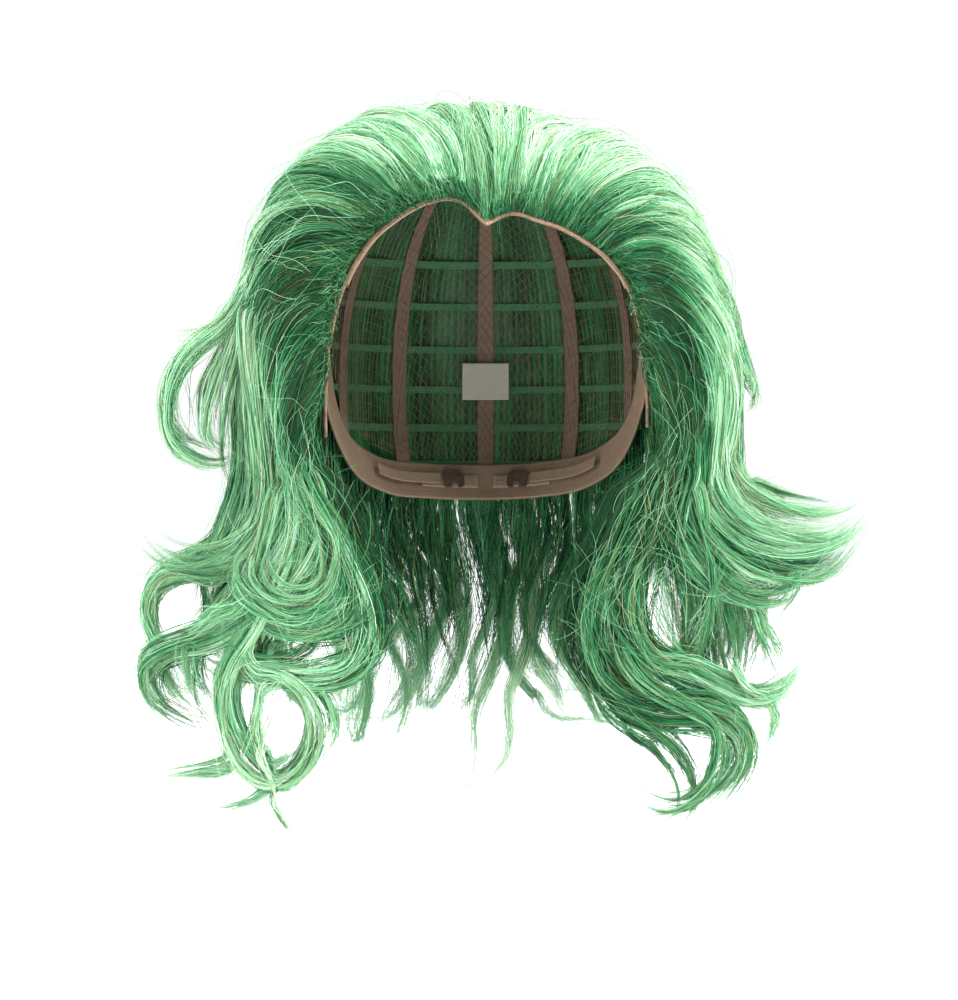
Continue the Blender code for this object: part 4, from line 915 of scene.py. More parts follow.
LEFT, RIGHT = "left_side_hair", "right_side_hair"
LOCKS = [
    # the outward loop at the temple, the strands that cross it and the tuft over it
    (LEFT, [(-98, -2, -34), (-108, -10, -50), (-113, -10, -62)] + seen([(-121, -74), (-131.5, -80.4), (-140.7, -90.5), (-146, -103.4), (-147, -114.4), (-144.5, -125.5), (-138, -134), (-129, -139), (-119.6, -138.3), (-113, -132)], -8, 2, 3, 4), 230, 5, 3.4, 0.62, STRAND_R, 30, 0.5, 1.0, (0.84, 1.0), 4, 0.6),
    (LEFT, [(-100, 4, -40), (-110, -4, -56)] + seen([(-118, -76), (-129, -85), (-138, -94), (-142.5, -105), (-142.5, -117), (-137, -127), (-128, -133), (-118, -133)], 0, 10, 3, 4), 120, 5, 3.0, 0.54, STRAND_R, 28, 0.5, 1.0, (0.84, 1.0), 3, 0.6),
    (LEFT, [(-102, 4, -44), (-112, -6, -60)] + seen([(-117, -80), (-122, -94), (-126, -106), (-130, -116), (-128, -126), (-121, -132), (-113, -134)], 0, 4, 3, 4), 130, 6, 4, 0.66),
    (LEFT, [(-100, 4, -48), (-111, -4, -66)] + seen([(-114, -84), (-117, -98), (-120, -112), (-121, -124), (-118, -136), (-112, -144)], -4, 2, 3, 4), 130, 7, 5, 0.60),
    (LEFT, [(-100, -6, -38), (-110, -12, -54)] + seen([(-118, -68), (-126, -76), (-134, -79), (-142, -80), (-147, -84)], 4, 8, 2, 2), 70, 4, 2.6, 0.74, STRAND_R, 26, 0.5, 1.0, (0.8, 1.0), 3, 0.6),
    (LEFT, [(-102, 8, -52), (-113, 4, -72)] + seen([(-120, -88), (-128, -101), (-132, -113), (-131, -124), (-125, -132), (-116, -136)], 8, 18, 3, 4), 90, 5, 3.4, 0.56),
    # side hair that hangs under the loop
    (LEFT, [(-113, 10, -66), (-117, 16, -86), (-117, 18, -108), (-115, 20, -130), (-116, 20, -150)] + seen([(-121, -170), (-128, -188), (-131, -206), (-124, -219), (-112, -223)], 16, 10), 150, 9, 8, 0.58),
    (LEFT, [(-106, -8, -80), (-109, -2, -104), (-108, 0, -128), (-107, 0, -148)] + seen([(-112, -168), (-121, -181), (-134, -190), (-148, -193), (-162, -191)], -2, -6), 90, 8, 3.4, 0.60),
    (LEFT, [(-104, -14, -110), (-104, -14, -134), (-103, -15, -156)] + seen([(-106, -176), (-114, -195), (-125, -207), (-134, -212), (-140, -220), (-141, -230), (-138, -241), (-131, -251), (-121, -261)], -16, -20), 120, 8, 4.6, 0.56),
    (LEFT, [(-108, -22, -70), (-108, -18, -90), (-105, -18, -112), (-102, -19, -134)] + seen([(-102, -152), (-106, -168), (-115, -178), (-128, -183), (-141, -182), (-151, -177), (-157, -171)], -20, -24), 120, 9, 5.5, 0.66),
    # the swirl by the neck
    (LEFT, seen([(-92, -134), (-84, -150), (-73, -163), (-66, -178), (-65, -192), (-71, -203), (-83, -209.5), (-96, -208), (-107, -201), (-113, -191), (-111, -181)], -33, -38), 150, 8, 6, 0.56),
    (LEFT, seen([(-88, -140), (-80, -158), (-72, -172), (-71, -186), (-77, -197), (-88, -201), (-99, -198), (-105, -190), (-103, -181), (-95, -176)], -36, -40), 120, 7, 5, 0.54),
    (LEFT, seen([(-96, -150), (-100, -168), (-104, -184), (-108, -198), (-116, -207), (-127, -209), (-137, -214), (-141, -222)], -28, -34), 80, 6, 3, 0.60),
    (LEFT, seen([(-80, -160), (-68, -180), (-58, -200), (-54, -217), (-58, -229), (-69, -235), (-82, -237), (-96, -236), (-110, -234), (-122, -232), (-131, -227)], -32, -36), 130, 7, 4.5, 0.60),
    (LEFT, seen([(-74, -166), (-64, -186), (-57, -206), (-57, -222), (-66, -233), (-78, -241), (-90, -243), (-100, -240)], -26, -30), 110, 7, 4.5, 0.44),
    (LEFT, seen([(-88, -184), (-82, -204), (-80, -220), (-88, -228), (-100, -229), (-114, -226), (-124, -219), (-128, -211)], -24, -30), 90, 7, 5, 0.50),
    # the round bottom curl, its second ring and the arcs across it
    (LEFT, seen([(-96, -184), (-102, -200), (-109, -215), (-117, -228), (-121, -242), (-120, -258), (-114.5, -274), (-104, -285), (-92.5, -287.5), (-83.5, -280), (-78.5, -266), (-79.5, -253), (-86, -243), (-96, -238)], -30, -40), 230, 9, 6, 0.60, STRAND_R, 40),
    (LEFT, seen([(-104, -190), (-108, -206), (-113, -220), (-116, -236), (-115, -252), (-111, -266), (-104, -277), (-95, -281), (-87, -275), (-84, -264)], -26, -36), 130, 8, 6, 0.58, STRAND_R, 34),
    (LEFT, seen([(-112, -226), (-105, -237), (-94, -238), (-85, -244), (-79, -254), (-77, -267), (-82, -280), (-92, -288), (-103, -286), (-113, -276), (-119, -262)], -34, -42), 150, 6, 4.5, 0.62),
    (LEFT, seen([(-102, -228), (-92, -234), (-81, -238), (-73, -246), (-69, -257), (-71, -266), (-77, -272)], -28, -34), 90, 6, 3.6, 0.52),
    (LEFT, seen([(-123, -250), (-116, -264), (-106, -271), (-94, -272), (-84, -267)], -32, -36), 50, 4, 2.4, 0.64),
    (LEFT, seen([(-97, -240), (-102, -252), (-107, -266), (-112, -276)], -33, -36), 34, 4, 2.2, 0.62),
    (LEFT, seen([(-122, -236), (-121, -254), (-117, -268), (-117, -276), (-126, -279), (-141, -281), (-158, -283)], -22, -14, 2, 2), 270, 6, 5.2, 0.62, STRAND_R, 26, 0.5, 0.6, (0.82, 1.0), 3, 0.4),
    (LEFT, seen([(-104, -262), (-98, -278), (-101, -289), (-110, -294), (-122, -297.5), (-134, -298.5)], -30, -28, 2, 2), 90, 2.4, 1.6, 0.60, STRAND_R, 26, 0.5, 0.6, (0.88, 1.0), 3, 0.4),
    (LEFT, seen([(-104, -268), (-98.5, -286), (-97.5, -296), (-92, -304), (-85, -310.5)], -34, -30, 2, 2), 100, 2.8, 1.8, 0.58, STRAND_R, 26, 0.5, 0.6, (0.88, 1.0), 3, 0.4),
    (LEFT, seen([(-124, -192), (-140, -187), (-149, -188), (-154, -194), (-155.5, -204), (-154.5, -215), (-151, -226), (-146, -238), (-139, -246.5), (-131, -250)], -4, -8), 90, 5, 3.2, 0.66),
    # behind: the rear of the side curtain
    (LEFT, [(-106, 40, -80), (-110, 46, -104), (-108, 50, -128), (-106, 50, -152), (-112, 48, -176), (-120, 44, -196), (-126, 42, -214), (-122, 40, -230), (-112, 40, -240)], 130, 12, 10, 0.48),
    (LEFT, [(-98, 60, -90), (-102, 66, -114), (-100, 68, -140), (-98, 66, -166), (-102, 62, -190), (-110, 58, -210), (-112, 54, -228), (-104, 52, -244)], 130, 13, 11, 0.48),
    (LEFT, [(-106, 26, -110), (-108, 28, -136), (-106, 28, -162), (-110, 26, -186), (-120, 22, -204), (-132, 20, -220), (-134, 18, -238), (-126, 18, -250), (-114, 18, -256)], 110, 9, 6, 0.50),
    (LEFT, [(-112, 10, -96), (-114, 20, -122), (-113, 28, -148), (-113, 28, -172), (-114, 18, -192), (-114, 3, -205), (-112, -12, -206), (-110, -21, -196), (-109, -20, -184)], 110, 9, 6, 0.60),
    (LEFT, [(-112, 30, -100), (-112, 38, -126), (-111, 42, -152), (-112, 40, -178), (-114, 30, -200), (-114, 14, -216), (-112, -2, -224), (-110, -18, -222), (-109, -27, -210)], 120, 10, 6, 0.56),
    (LEFT, [(-108, 48, -104), (-107, 58, -132), (-105, 60, -160), (-106, 54, -188), (-108, 40, -210), (-110, 24, -226), (-110, 6, -236), (-108, -10, -238), (-106, -18, -228)], 120, 10, 6, 0.54),
    (LEFT, [(-104, 66, -110), (-102, 78, -138), (-99, 82, -166), (-99, 78, -192), (-102, 66, -216), (-104, 52, -234), (-106, 38, -248), (-106, 22, -254), (-104, 12, -246)], 120, 11, 6, 0.52),
    (LEFT, [(-108, 20, -120), (-110, 10, -146), (-111, -4, -168), (-110, -16, -188), (-108, -20, -208), (-107, -12, -226), (-108, 2, -238), (-108, 16, -240), (-108, 24, -230)], 100, 8, 5, 0.56),
    (LEFT, [(-98, 76, -116), (-96, 86, -146), (-93, 86, -174), (-94, 78, -200), (-97, 72, -222), (-98, 76, -242), (-97, 88, -254), (-95, 98, -250), (-94, 100, -240)], 110, 11, 6, 0.50),
    # the viewer's right: the tuft at the side, then the flick's strands
    (RIGHT, [(104, -28, -62), (113, -8, -76), (118, 6, -90), (121, 10, -98), (124, 10, -104), (123, 10, -110), (119, 9, -112)], 80, 7, 4, 0.56),
    (RIGHT, [(100, -34, -50), (110, -12, -64), (117, 6, -80), (121, 12, -92), (123.5, 12, -101), (122, 12, -107)], 60, 7, 4, 0.66),
    (RIGHT, [(108, -10, -88), (112, -4, -106), (110, 0, -124), (108, 0, -138)] + seen([(112, -152), (122, -162), (135, -168), (150, -170), (163, -167), (173, -160)], -2, -10), 190, 10, 9, 0.68),
    (RIGHT, [(108, 4, -96), (112, 8, -114), (112, 8, -130)] + seen([(112, -142), (119, -152), (130, -158), (143, -161), (155, -162), (165, -160), (174, -156)], 8, 2), 110, 9, 7, 0.72),
    (RIGHT, [(104, -18, -100), (104, -14, -120), (102, -12, -138)] + seen([(103, -152), (112, -166), (126, -174), (142, -177), (157, -175), (168, -168), (174, -161)], -14, -18), 180, 10, 8, 0.60),
    (RIGHT, [(98, -22, -120), (98, -22, -140)] + seen([(99, -155), (107, -170), (121, -181), (136, -186.5), (151, -187), (160, -181), (167, -171)], -22, -22), 130, 8, 5, 0.46),
    (RIGHT, [(94, -28, -112), (92, -26, -132)] + seen([(90, -150), (94, -169), (103, -184), (114.5, -194), (126, -198), (136, -196), (142, -190), (145, -184)], -26, -26), 130, 8, 3.6, 0.50),
    (RIGHT, seen([(118, -196), (130, -197), (139, -194), (143, -190), (140, -197), (134, -204), (127, -211)], -22, -20), 60, 4, 2.2, 0.56),
    # the locks right of the ring
    (RIGHT, seen([(96, -140), (91, -158), (89, -174), (89, -190), (90, -205), (93, -219), (97, -229), (104, -238)], -28, -30), 80, 5, 2.6, 0.40),
    (RIGHT, seen([(98, -150), (101, -170), (104, -186), (104, -202), (101.5, -214), (96, -224), (88, -230), (79, -231)], -26, -32), 100, 6, 3.6, 0.44),
    (RIGHT, seen([(96, -146), (100, -166), (106, -184), (110, -200), (112.5, -214), (113, -227), (110, -238)], -20, -24), 110, 8, 5.5, 0.56),
    (RIGHT, seen([(100, -150), (106, -170), (112, -184), (119, -197), (123, -210), (126, -219), (131, -228), (137, -237)], -14, -18), 90, 8, 4.6, 0.58),
    (RIGHT, seen([(104, -160), (111, -180), (118, -196), (122, -208), (125, -219), (124, -230), (118, -237)], -8, -14), 80, 8, 4.4, 0.60),
    (RIGHT, [(106, 2, -126), (108, 4, -148), (111, 4, -168), (118, 2, -184), (124, 0, -198), (126, -2, -210), (120, -3, -222), (111, -4, -230)], 90, 9, 7, 0.50),
    # the ring's left side and the dense inner edge
    (RIGHT, seen([(86, -136), (78, -156), (71, -174), (65, -190), (65, -204), (70, -217), (80, -226), (92, -231), (104, -237), (114, -243)], -33, -30), 170, 8, 4.6, 0.46),
    (RIGHT, seen([(80, -140), (72, -162), (63, -182), (57, -200), (57, -214), (62, -226), (72, -235), (86, -240), (100, -243), (112, -246)], -32, -34), 190, 9, 6, 0.46),
    (RIGHT, seen([(74, -150), (64, -170), (54, -190), (49, -208), (49, -222), (54, -236), (64, -245), (78, -249), (92, -250)], -30, -33), 170, 8, 6, 0.34),
    (RIGHT, seen([(78, -144), (68, -166), (60, -186), (55, -204), (54, -220), (58, -236), (66, -248), (78, -256), (88, -266), (95, -280), (97, -289)], -28, -33), 130, 8, 5, 0.38),
    (RIGHT, seen([(60, -196), (52, -214), (50, -230), (54, -246), (62, -257), (74, -263), (86, -270), (93, -280), (97, -290), (96, -300), (88, -306), (79, -309)], -31, -36), 110, 6, 3.2, 0.40),
    (RIGHT, seen([(70, -226), (84, -240), (98, -246), (110, -250), (117, -258), (119.5, -267), (117, -277), (109, -288), (100, -296)], -34, -37), 130, 8, 5.5, 0.48),
    (RIGHT, seen([(66, -232), (80, -244), (94, -250), (103, -258), (106, -268), (103, -281), (96, -290), (87, -295.5), (78, -295.5), (69, -291), (62.5, -284.5)], -36, -40), 110, 7, 3.6, 0.50),
    (RIGHT, seen([(96, -232), (107, -239), (119, -245), (129.5, -246), (138, -242), (143, -235), (145, -229)], -30, -32), 70, 5, 3.4, 0.66),
    (RIGHT, seen([(118, -238), (127, -243), (132, -250), (132.5, -258), (129, -266), (122, -273)], -30, -31), 34, 3, 1.5, 0.60),
    (RIGHT, seen([(120, -240), (130, -246), (134, -254), (131, -264), (124, -271)], -27, -29), 20, 3, 1.2, 0.62),
    (RIGHT, seen([(122, -206), (130, -214), (135, -224), (138, -233)], -10, -14), 24, 3, 1.6, 0.62),
    (RIGHT, seen([(66, -262), (76, -268), (84, -277), (90, -287)], -34, -36), 30, 3, 1.8, 0.42),
    (RIGHT, [(114, 12, -98), (115, 22, -124), (113, 28, -150), (112, 26, -174), (113, 14, -194), (113, -2, -204), (112, -14, -200), (111, -20, -188)], 110, 9, 6, 0.58),
    (RIGHT, [(112, 30, -102), (111, 38, -128), (110, 42, -154), (111, 38, -180), (112, 26, -202), (112, 10, -218), (110, -6, -224), (109, -18, -216)], 120, 10, 6, 0.54),
    (RIGHT, [(107, 48, -106), (105, 58, -134), (103, 60, -162), (104, 52, -190), (106, 38, -212), (108, 22, -228), (108, 4, -236), (106, -10, -234), (105, -16, -224)], 120, 10, 6, 0.52),
    (RIGHT, [(102, 66, -112), (100, 78, -140), (97, 82, -168), (97, 76, -194), (99, 64, -218), (101, 50, -236), (102, 36, -248), (102, 22, -252), (101, 12, -244)], 120, 11, 6, 0.50),
    (RIGHT, [(96, 76, -118), (94, 86, -148), (91, 86, -176), (92, 78, -202), (95, 72, -224), (96, 78, -243), (95, 90, -253), (93, 99, -248), (92, 101, -238)], 110, 11, 6, 0.48),
    (RIGHT, [(104, 38, -84), (108, 44, -106), (106, 48, -130), (106, 48, -154), (112, 46, -178), (118, 42, -196), (119, 40, -214), (112, 38, -230)], 130, 12, 10, 0.48),
    (RIGHT, [(96, 58, -90), (99, 64, -114), (98, 66, -140), (96, 64, -166), (100, 60, -190), (106, 56, -210), (106, 54, -228), (98, 52, -242)], 130, 13, 11, 0.48),
    (RIGHT, [(102, 24, -112), (105, 26, -138), (104, 26, -162), (107, 24, -186), (114, 20, -204), (119, 18, -222), (115, 16, -238), (106, 16, -248)], 110, 9, 6, 0.50),
]
for entry in LOCKS:
    lock(*entry)


# ---------------------------------------------------------------- rows sewn to the cap, which hang inside the curtain
def row_hair(z, start, per_deg, reach, tone):
    """Wisps from one sewn row: close to the cap first, then free in long waves, drawn in under the nape."""
    span = 360 - 2 * start
    n = int(span * per_deg * SHARE)
    wisps = int(span / 2.4)
    which = rng.integers(0, wisps, n)
    centre = start + span * (np.arange(wisps) + rng.uniform(0.2, 0.8, wisps)) / wisps
    m = 20
    s = np.linspace(0, 1, m)[None, :]
    tight = 1 - 0.72 * smooth(s, 0.15, 0.75)
    th = centre[which][:, None] + rng.normal(0, 1.5, (n, 1)) * tight
    a = np.abs((centre[which] + 180) % 360 - 180)
    length = reach * rng.uniform(0.82, 1.05, wisps)[which][:, None] * rng.uniform(0.93, 1.0, (n, 1))
    z0 = z * 1000
    floor_z = np.where(a < 146, -166 - 22 * rng.random(wisps)[which], -262)[:, None]
    Z = z0 - np.minimum(length, z0 - floor_z) * s
    free = smooth(s * length, 10, 70)
    u = np.minimum(u_of_z(np.maximum(Z, -146) * MM), 2.05)
    deep = rng.uniform(0, 5, wisps)[which][:, None] + rng.normal(0, 0.5, (n, 1)) * tight
    P = surf(th, u, (5.8 + np.clip(deep, 0, 6)) * MM + 0.010 * free * np.ones_like(Z))
    plan = surf(th, math.pi / 2, 0.006 + 0.0018 * deep - 0.030 * smooth(-Z, 160, 250))
    low = smooth(-Z, 118, 150)[..., None]
    P[..., :2] = P[..., :2] * (1 - low) + plan[..., :2] * low
    P[..., 2] = np.where(Z * MM < P[..., 2], Z * MM, P[..., 2])
    P += (wobble(wisps, m, (0.9, 1.9), (4.2 * MM, 1.6 * MM))[which] + wobble(n, m, (2.0, 5.0), (0.5 * MM, 0.2 * MM))) * smooth(s, 0.10, 0.6)[..., None]
    group = np.where(a > 121.5, 0, np.where(((centre[which] + 180) % 360 - 180) < 0, 1, 2))
    R = radii(n, m, STRAND_R * 1.2)
    at = paint(n, m, tone + rng.normal(0, 0.07, wisps)[which][:, None], rng.uniform(0, 0.10, n), np.zeros(n), np.broadcast_to(s, (n, m)), root=0.12)
    for code, body in ((0, "back_hair"), (1, LEFT), (2, RIGHT)):
        pick = group == code
        if pick.sum() > 3:
            GROUPS[body].append((P[pick], R[pick], {k: v[pick] for k, v in at.items()}))


for (z, start), reach in zip(ROWS, (112, 118, 122, 118, 110, 96)):
    row_hair(z, max(start, 70), 2.3, reach, 0.38)


def scalp_mat():
    """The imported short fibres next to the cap: a rippled layer that closes the hair over the net."""
    def edge(theta):
        a = np.abs((np.asarray(theta, float) + 180) % 360 - 180)
        front = hem_u(a) - 0.150
        side = np.where(a < 86.0, u_of_z(TAB_TOP_Z + 0.006) + 0 * a, hem_u(a) - 0.050)
        w = smooth(a, 56, 61)
        return front * (1 - w) + side * w

    nt, nu = 880, 44
    th = np.linspace(-180, 180, nt, endpoint=False)
    s = np.linspace(0.03, 1, nu)
    TH, S = np.meshgrid(th, s, indexing="ij")
    U = edge(th)[:, None] * S
    strand = np.sin(np.radians(TH) * 216 + 3 * np.sin(TH * 0.11 + 2.0 * S)) * 0.6 + np.sin(np.radians(TH) * 119 + 5 * S + 2 * np.sin(np.radians(TH) * 17)) * 0.4
    ripple = 0.00045 * strand
    lift = 0.0062 + 0.0014 * np.sin(TH * 0.23 + 1.7) * np.sin(6 * S + TH * 0.05)
    taper = 1 - 0.75 * smooth(S, 0.90, 1.0)
    out = surf(TH, U, np.maximum(lift * taper + 0.0012 + ripple, 0.0040))
    ins = surf(TH, U, np.maximum(lift * taper - 0.0004 - ripple * 0.6, 0.0030))
    idx = lambda i, j: (i % nt) * nu + j
    i, j = np.meshgrid(np.arange(nt), np.arange(nu - 1), indexing="ij")
    i, j = i.ravel(), j.ravel()
    off = nt * nu
    q = [
        np.stack([idx(i, j) + off, idx(i, j + 1) + off, idx(i + 1, j + 1) + off, idx(i + 1, j) + off], -1),
        np.stack([idx(i, j), idx(i + 1, j), idx(i + 1, j + 1), idx(i, j + 1)], -1),
    ]
    e = np.arange(nt)
    q.append(np.stack([idx(e, nu - 1), idx(e + 1, nu - 1), idx(e + 1, nu - 1) + off, idx(e, nu - 1) + off], -1))
    q.append(np.stack([idx(e, 0), idx(e, 0) + off, idx(e + 1, 0) + off, idx(e + 1, 0)], -1))
    verts = np.concatenate([ins.reshape(-1, 3), out.reshape(-1, 3)])
    # a low tone: painted shade for the layer that lies under the hair
    tone = 0.20 + 0.10 * strand + 0.05 * np.sin(TH * 0.4) + rng.normal(0, 0.03, TH.shape)
    gold = np.where(np.sin(np.radians(TH) * 151) > 0.8, 0.5, 0.0)
    u = (TH + 180) / 360
    uvs = np.concatenate([np.stack([u.ravel(), S.ravel() * 0.49], -1), np.stack([u.ravel(), 0.5 + S.ravel() * 0.49], -1)])
    return mesh_object("scalp_mat", verts, np.concatenate(q), uvs=uvs, attrs={"tone": np.tile(tone.ravel().clip(0, 1), 2), "gold": np.tile(gold.ravel(), 2)})


def scalp_fill():
    """Short dense layers over the cap, so that the net is only seen from inside."""
    n = int(1800 * SHARE)
    th = rng.uniform(-180, 180, n)
    a = np.abs(th)
    top = 0.10 + 0.9 * rng.random(n) ** 0.8
    hem = np.minimum(hem_u(th) - 0.05, u_of_z(-0.085))
    u0 = top * hem
    m = 12
    s = np.linspace(0, 1, m)[None, :]
    run = rng.uniform(0.35, 0.6, (n, 1))
    back = np.where(a < 70, 1.0, 0.25)[:, None]
    # in front the fill runs back over the head, elsewhere it runs down
    up = (a < 62)[:, None]
    U = np.where(up, u0[:, None] - run * s * 0.8, u0[:, None] + run * s)
    U = np.clip(U, 0.03, np.where((a > 55) & (a < 95), u_of_z(-0.082), 1.50)[:, None])
    turn = np.sign(th)[:, None] * back * 16 * s / np.maximum(U, 0.25)
    P = surf(th[:, None] + turn, U, (8.0 + 4.5 * rng.random((n, 1)) + 3.0 * s) * MM)
    P += wobble(n, m, (1.5, 4.0), (1.0 * MM, 0.5 * MM)) * smooth(s, 0.05, 0.4)[..., None]
    R = radii(n, m, STRAND_R * 1.7)
    at = paint(n, m, 0.32, rng.uniform(0, 0.12, n), 0 * th, np.broadcast_to(s, (n, m)))
    return P, R, at


def baby_hair(count):
    """Fine short hairs that start right on the edge of the band."""
    n = int(count * SHARE)
    m = 10
    A = rng.uniform(0.4, G - 1.4, (n, 1))
    s = np.linspace(0, 1, m)[None, :]
    K = s * rng.uniform(0.9, 2.6, (n, 1))
    A = A + rng.normal(0, 0.25, (n, 1)) * s
    P = sheet_at(A, K)
    at = np.interp(A[:, 0], np.arange(G), ROOT_T)
    root = surf(at, hem_u(at) - rng.uniform(0.0, 0.03, n), 0.0028)
    P = P + (root - P[:, 0])[:, None, :] * (1 - smooth(s, 0, 0.7))[..., None]
    P -= outward(P.copy()) * (rng.uniform(0, 5, (n, 1)) * MM * smooth(s, 0.1, 0.8))[..., None]
    P += wobble(n, m, (1.0, 2.5), (0.8 * MM, 0.4 * MM)) * smooth(s, 0.1, 0.6)[..., None]
    tone = paint(n, m, 0.34, np.zeros(n), np.zeros(n), np.broadcast_to(s, (n, m)), root=0.05, spread=0.12)
    return P, radii(n, m, 0.00011, tip=0.4), tone


CAP_SETS = [scalp_fill(), baby_hair(1500)]


# ---------------------------------------------------------------- stray hairs
def flyaways(n, r=0.000085):
    n = int(n * SHARE)
    m = 18
    a = rng.uniform(0, G - 1, n)
    k0 = rng.uniform(0.6, 7.5, n)
    span = rng.uniform(1.5, 4.2, n)
    S = np.linspace(0, 1, m)[None, :]
    K = np.clip(k0[:, None] + span[:, None] * S, 0, 10)
    A = np.clip(a[:, None] + rng.normal(0, 0.9, (n, 1)) * S, 0, G - 1.001)
    P = sheet_at(A, K)
    P += outward(P.copy()) * ((-0.5 + rng.gamma(1.3, 1.0, (n, 1)) * np.sin(S * rng.uniform(1.2, 3.0, (n, 1)))) * MM)[..., None]
    P += wobble(n, m, (0.6, 1.4), (2.6 * MM, 1.0 * MM)) * smooth(S, 0.0, 0.4)[..., None]
    R = radii(n, m, r, tip=0.5)
    at = paint(n, m, 0.68, np.zeros(n), np.zeros(n), np.broadcast_to(S, (n, m)), root=0.0, spread=0.12)
    side = np.where((a > 6.5) & (a < 11.5), 0, np.where(a <= 6.5, 1, 2))
    for code, body in ((0, "back_hair"), (1, LEFT), (2, RIGHT)):
        pick = side == code
        if pick.sum() > 3:
            GROUPS[body].append((P[pick], R[pick], {k: v[pick] for k, v in at.items()}))


flyaways(800)

for body in (LEFT, RIGHT):  # frizz round the curls
    sets = [x for x in GROUPS[body] if x[0].shape[1] in (28, 34)]
    extra = []
    for P, R, at in sets:
        n = max(1, int(len(P) * 0.08))
        pick = rng.choice(len(P), n, replace=False)
        Q = P[pick] + wobble(n, P.shape[1], (0.7, 1.6), (4.0 * MM, 1.6 * MM)) * smooth(np.linspace(0, 1, P.shape[1]), 0.1, 0.7)[None, :, None]
        extra.append((Q, R[pick] * 0.55, {k: (v[pick] + (0.06 if k == "tone" else 0)).clip(0, 1) for k, v in at.items()}))
    GROUPS[body] += extra


# ---------------------------------------------------------------- open the curls and keep clear of the ear tabs
# each hole: its middle and half sizes (x, z) in millimetres, as seen from the front camera
HOLES = [
    (-142.0, -204.0, 9.5, 9.0), (-142.5, -233.5, 4.0, 9.0), (-73.0, -230.5, 7.0, 3.6), (-98.5, -256.5, 6.6, 12.0), (-86.5, -256.0, 2.6, 7.0),
    (-110.0, -247.0, 3.6, 8.0), (-140.5, -112.5, 5.0, 12.5), (-124.0, -115.0, 2.0, 8.0), (-72.5, -178.0, 3.0, 7.0),
    (81.5, -208.5, 8.0, 15.0), (96.5, -216.0, 3.2, 7.0), (125.5, -194.5, 9.0, 2.4), (125.0, -229.5, 3.4, 7.5), (101.0, -264.5, 3.8, 6.0),
    (88.0, -272.0, 4.5, 3.5), (117.0, -207.0, 5.5, 2.6),
]


def open_holes(P):
    """Bends strands round the holes; a few are left to cross."""
    P = P.copy()
    n = len(P)
    cross = rng.random(n) < 0.045
    bent = np.zeros(n, bool)
    for cx, cz, rx, rz in HOLES:
        k = (1.6 + P[..., 1]) / 1.6
        qx = ((P[..., 0] / MM + 3.2) / k - 3.2 - cx) / rx
        qz = ((P[..., 2] / MM + 155) / k - 155 - cz) / rz
        far = np.hypot(qx, qz)
        near = far.argmin(1)
        rows = np.arange(n)
        least = far[rows, near]
        hit = np.nonzero((least < 2.2) & ~cross)[0]
        if not len(hit):
            continue
        dx, dz = qx[hit, near[hit]], qz[hit, near[hit]]
        size = np.maximum(np.hypot(dx, dz), 1e-4)
        dx, dz = dx / size, dz / size
        qx, qz = qx[hit], qz[hit]
        a = qx * dx[:, None] + qz * dz[:, None]
        b = -qx * dz[:, None] + qz * dx[:, None]
        h = 0.5 + 0.5 * np.cos(math.pi * np.minimum(np.abs(b) / 1.5, 1))
        push = 1.12 * h * np.clip(1 - a / 2.2, 0, 1.6) * smooth(a, -1.3, -0.5)
        P[hit, :, 0] += push * dx[:, None] * rx * k[hit] * MM
        P[hit, :, 2] += push * dz[:, None] * rz * k[hit] * MM
        bent[hit] = True
    Q = P[bent]
    for _ in range(3):  # soft bends, no kinks
        Q[:, 1:-1] = Q[:, 1:-1] * 0.5 + (Q[:, :-2] + Q[:, 2:]) * 0.25
    P[bent] = Q
    return P


def shade_face(P, at):
    """The hair against the cheeks lies in its own shadow and grows darker there."""
    x, y, z = P[..., 0] / MM, P[..., 1] / MM, P[..., 2] / MM
    for side, (x0, z0), (x1, z1), width, amount in ((1, (74, -58), (84, -128), 15, 0.30), (1, (84, -128), (74, -176), 11, 0.16), (-1, (74, -66), (84, -128), 12, 0.16)):
        ax, az = x * side - x0, z - z0
        bx, bz = x1 - x0, z1 - z0
        t = np.clip((ax * bx + az * bz) / (bx * bx + bz * bz), 0, 1)
        d = np.hypot(ax - t * bx, az - t * bz)
        at["tone"] = at["tone"] - amount * np.exp(-((d / width) ** 2)) * (1 - smooth(y, 0, 25))
    lift = np.where(x < 0, 0.060, 0.030) * (1 - 0.5 * smooth(z, -90, -30))  # the curls catch the light, on the left most of all
    at["tone"] = at["tone"] + lift * smooth(at["tone"], 0.25, 0.60)
    at["tone"] = np.clip(at["tone"], 0.11, 1)
    return at


def clear_tabs(P):
    """Stands the hair off from the room the ear tabs bend through."""
    P = P.copy()
    dx, dy = P[..., 0], P[..., 1] - HEAD_Y
    a = np.abs(np.degrees(np.arctan2(dx, -dy)))
    z = P[..., 2]
    w = smooth(a, 52, 59) * (1 - smooth(a, 86, 94)) * smooth(P[..., 1], -0.0375, -0.0345)
    r = np.clip(TAB_TOP_Z + 0.002 - z, 0, 0.045)
    ask = (0.155 * r + 0.0031 * smooth(r, 0.0, 0.008)) * w * (1 - smooth(-z, 0.131, 0.150))
    skin = surf(np.clip(a, 50, 97), u_of_z(np.clip(z, -0.150, -0.060)), 0.0022)
    plan = np.hypot(dx, dy)
    out = plan - np.hypot(skin[..., 0], skin[..., 1] - HEAD_Y)
    push = ask * (1 - smooth(out, 0.003, 0.022)) + np.clip(0.0008 - out, 0, 0.006) * (ask > 0.0003)
    push = push * (out > -0.008)
    scale = 1 + push / np.maximum(plan, 0.01)
    P[..., 0] = dx * scale
    P[..., 1] = HEAD_Y + dy * scale
    return P


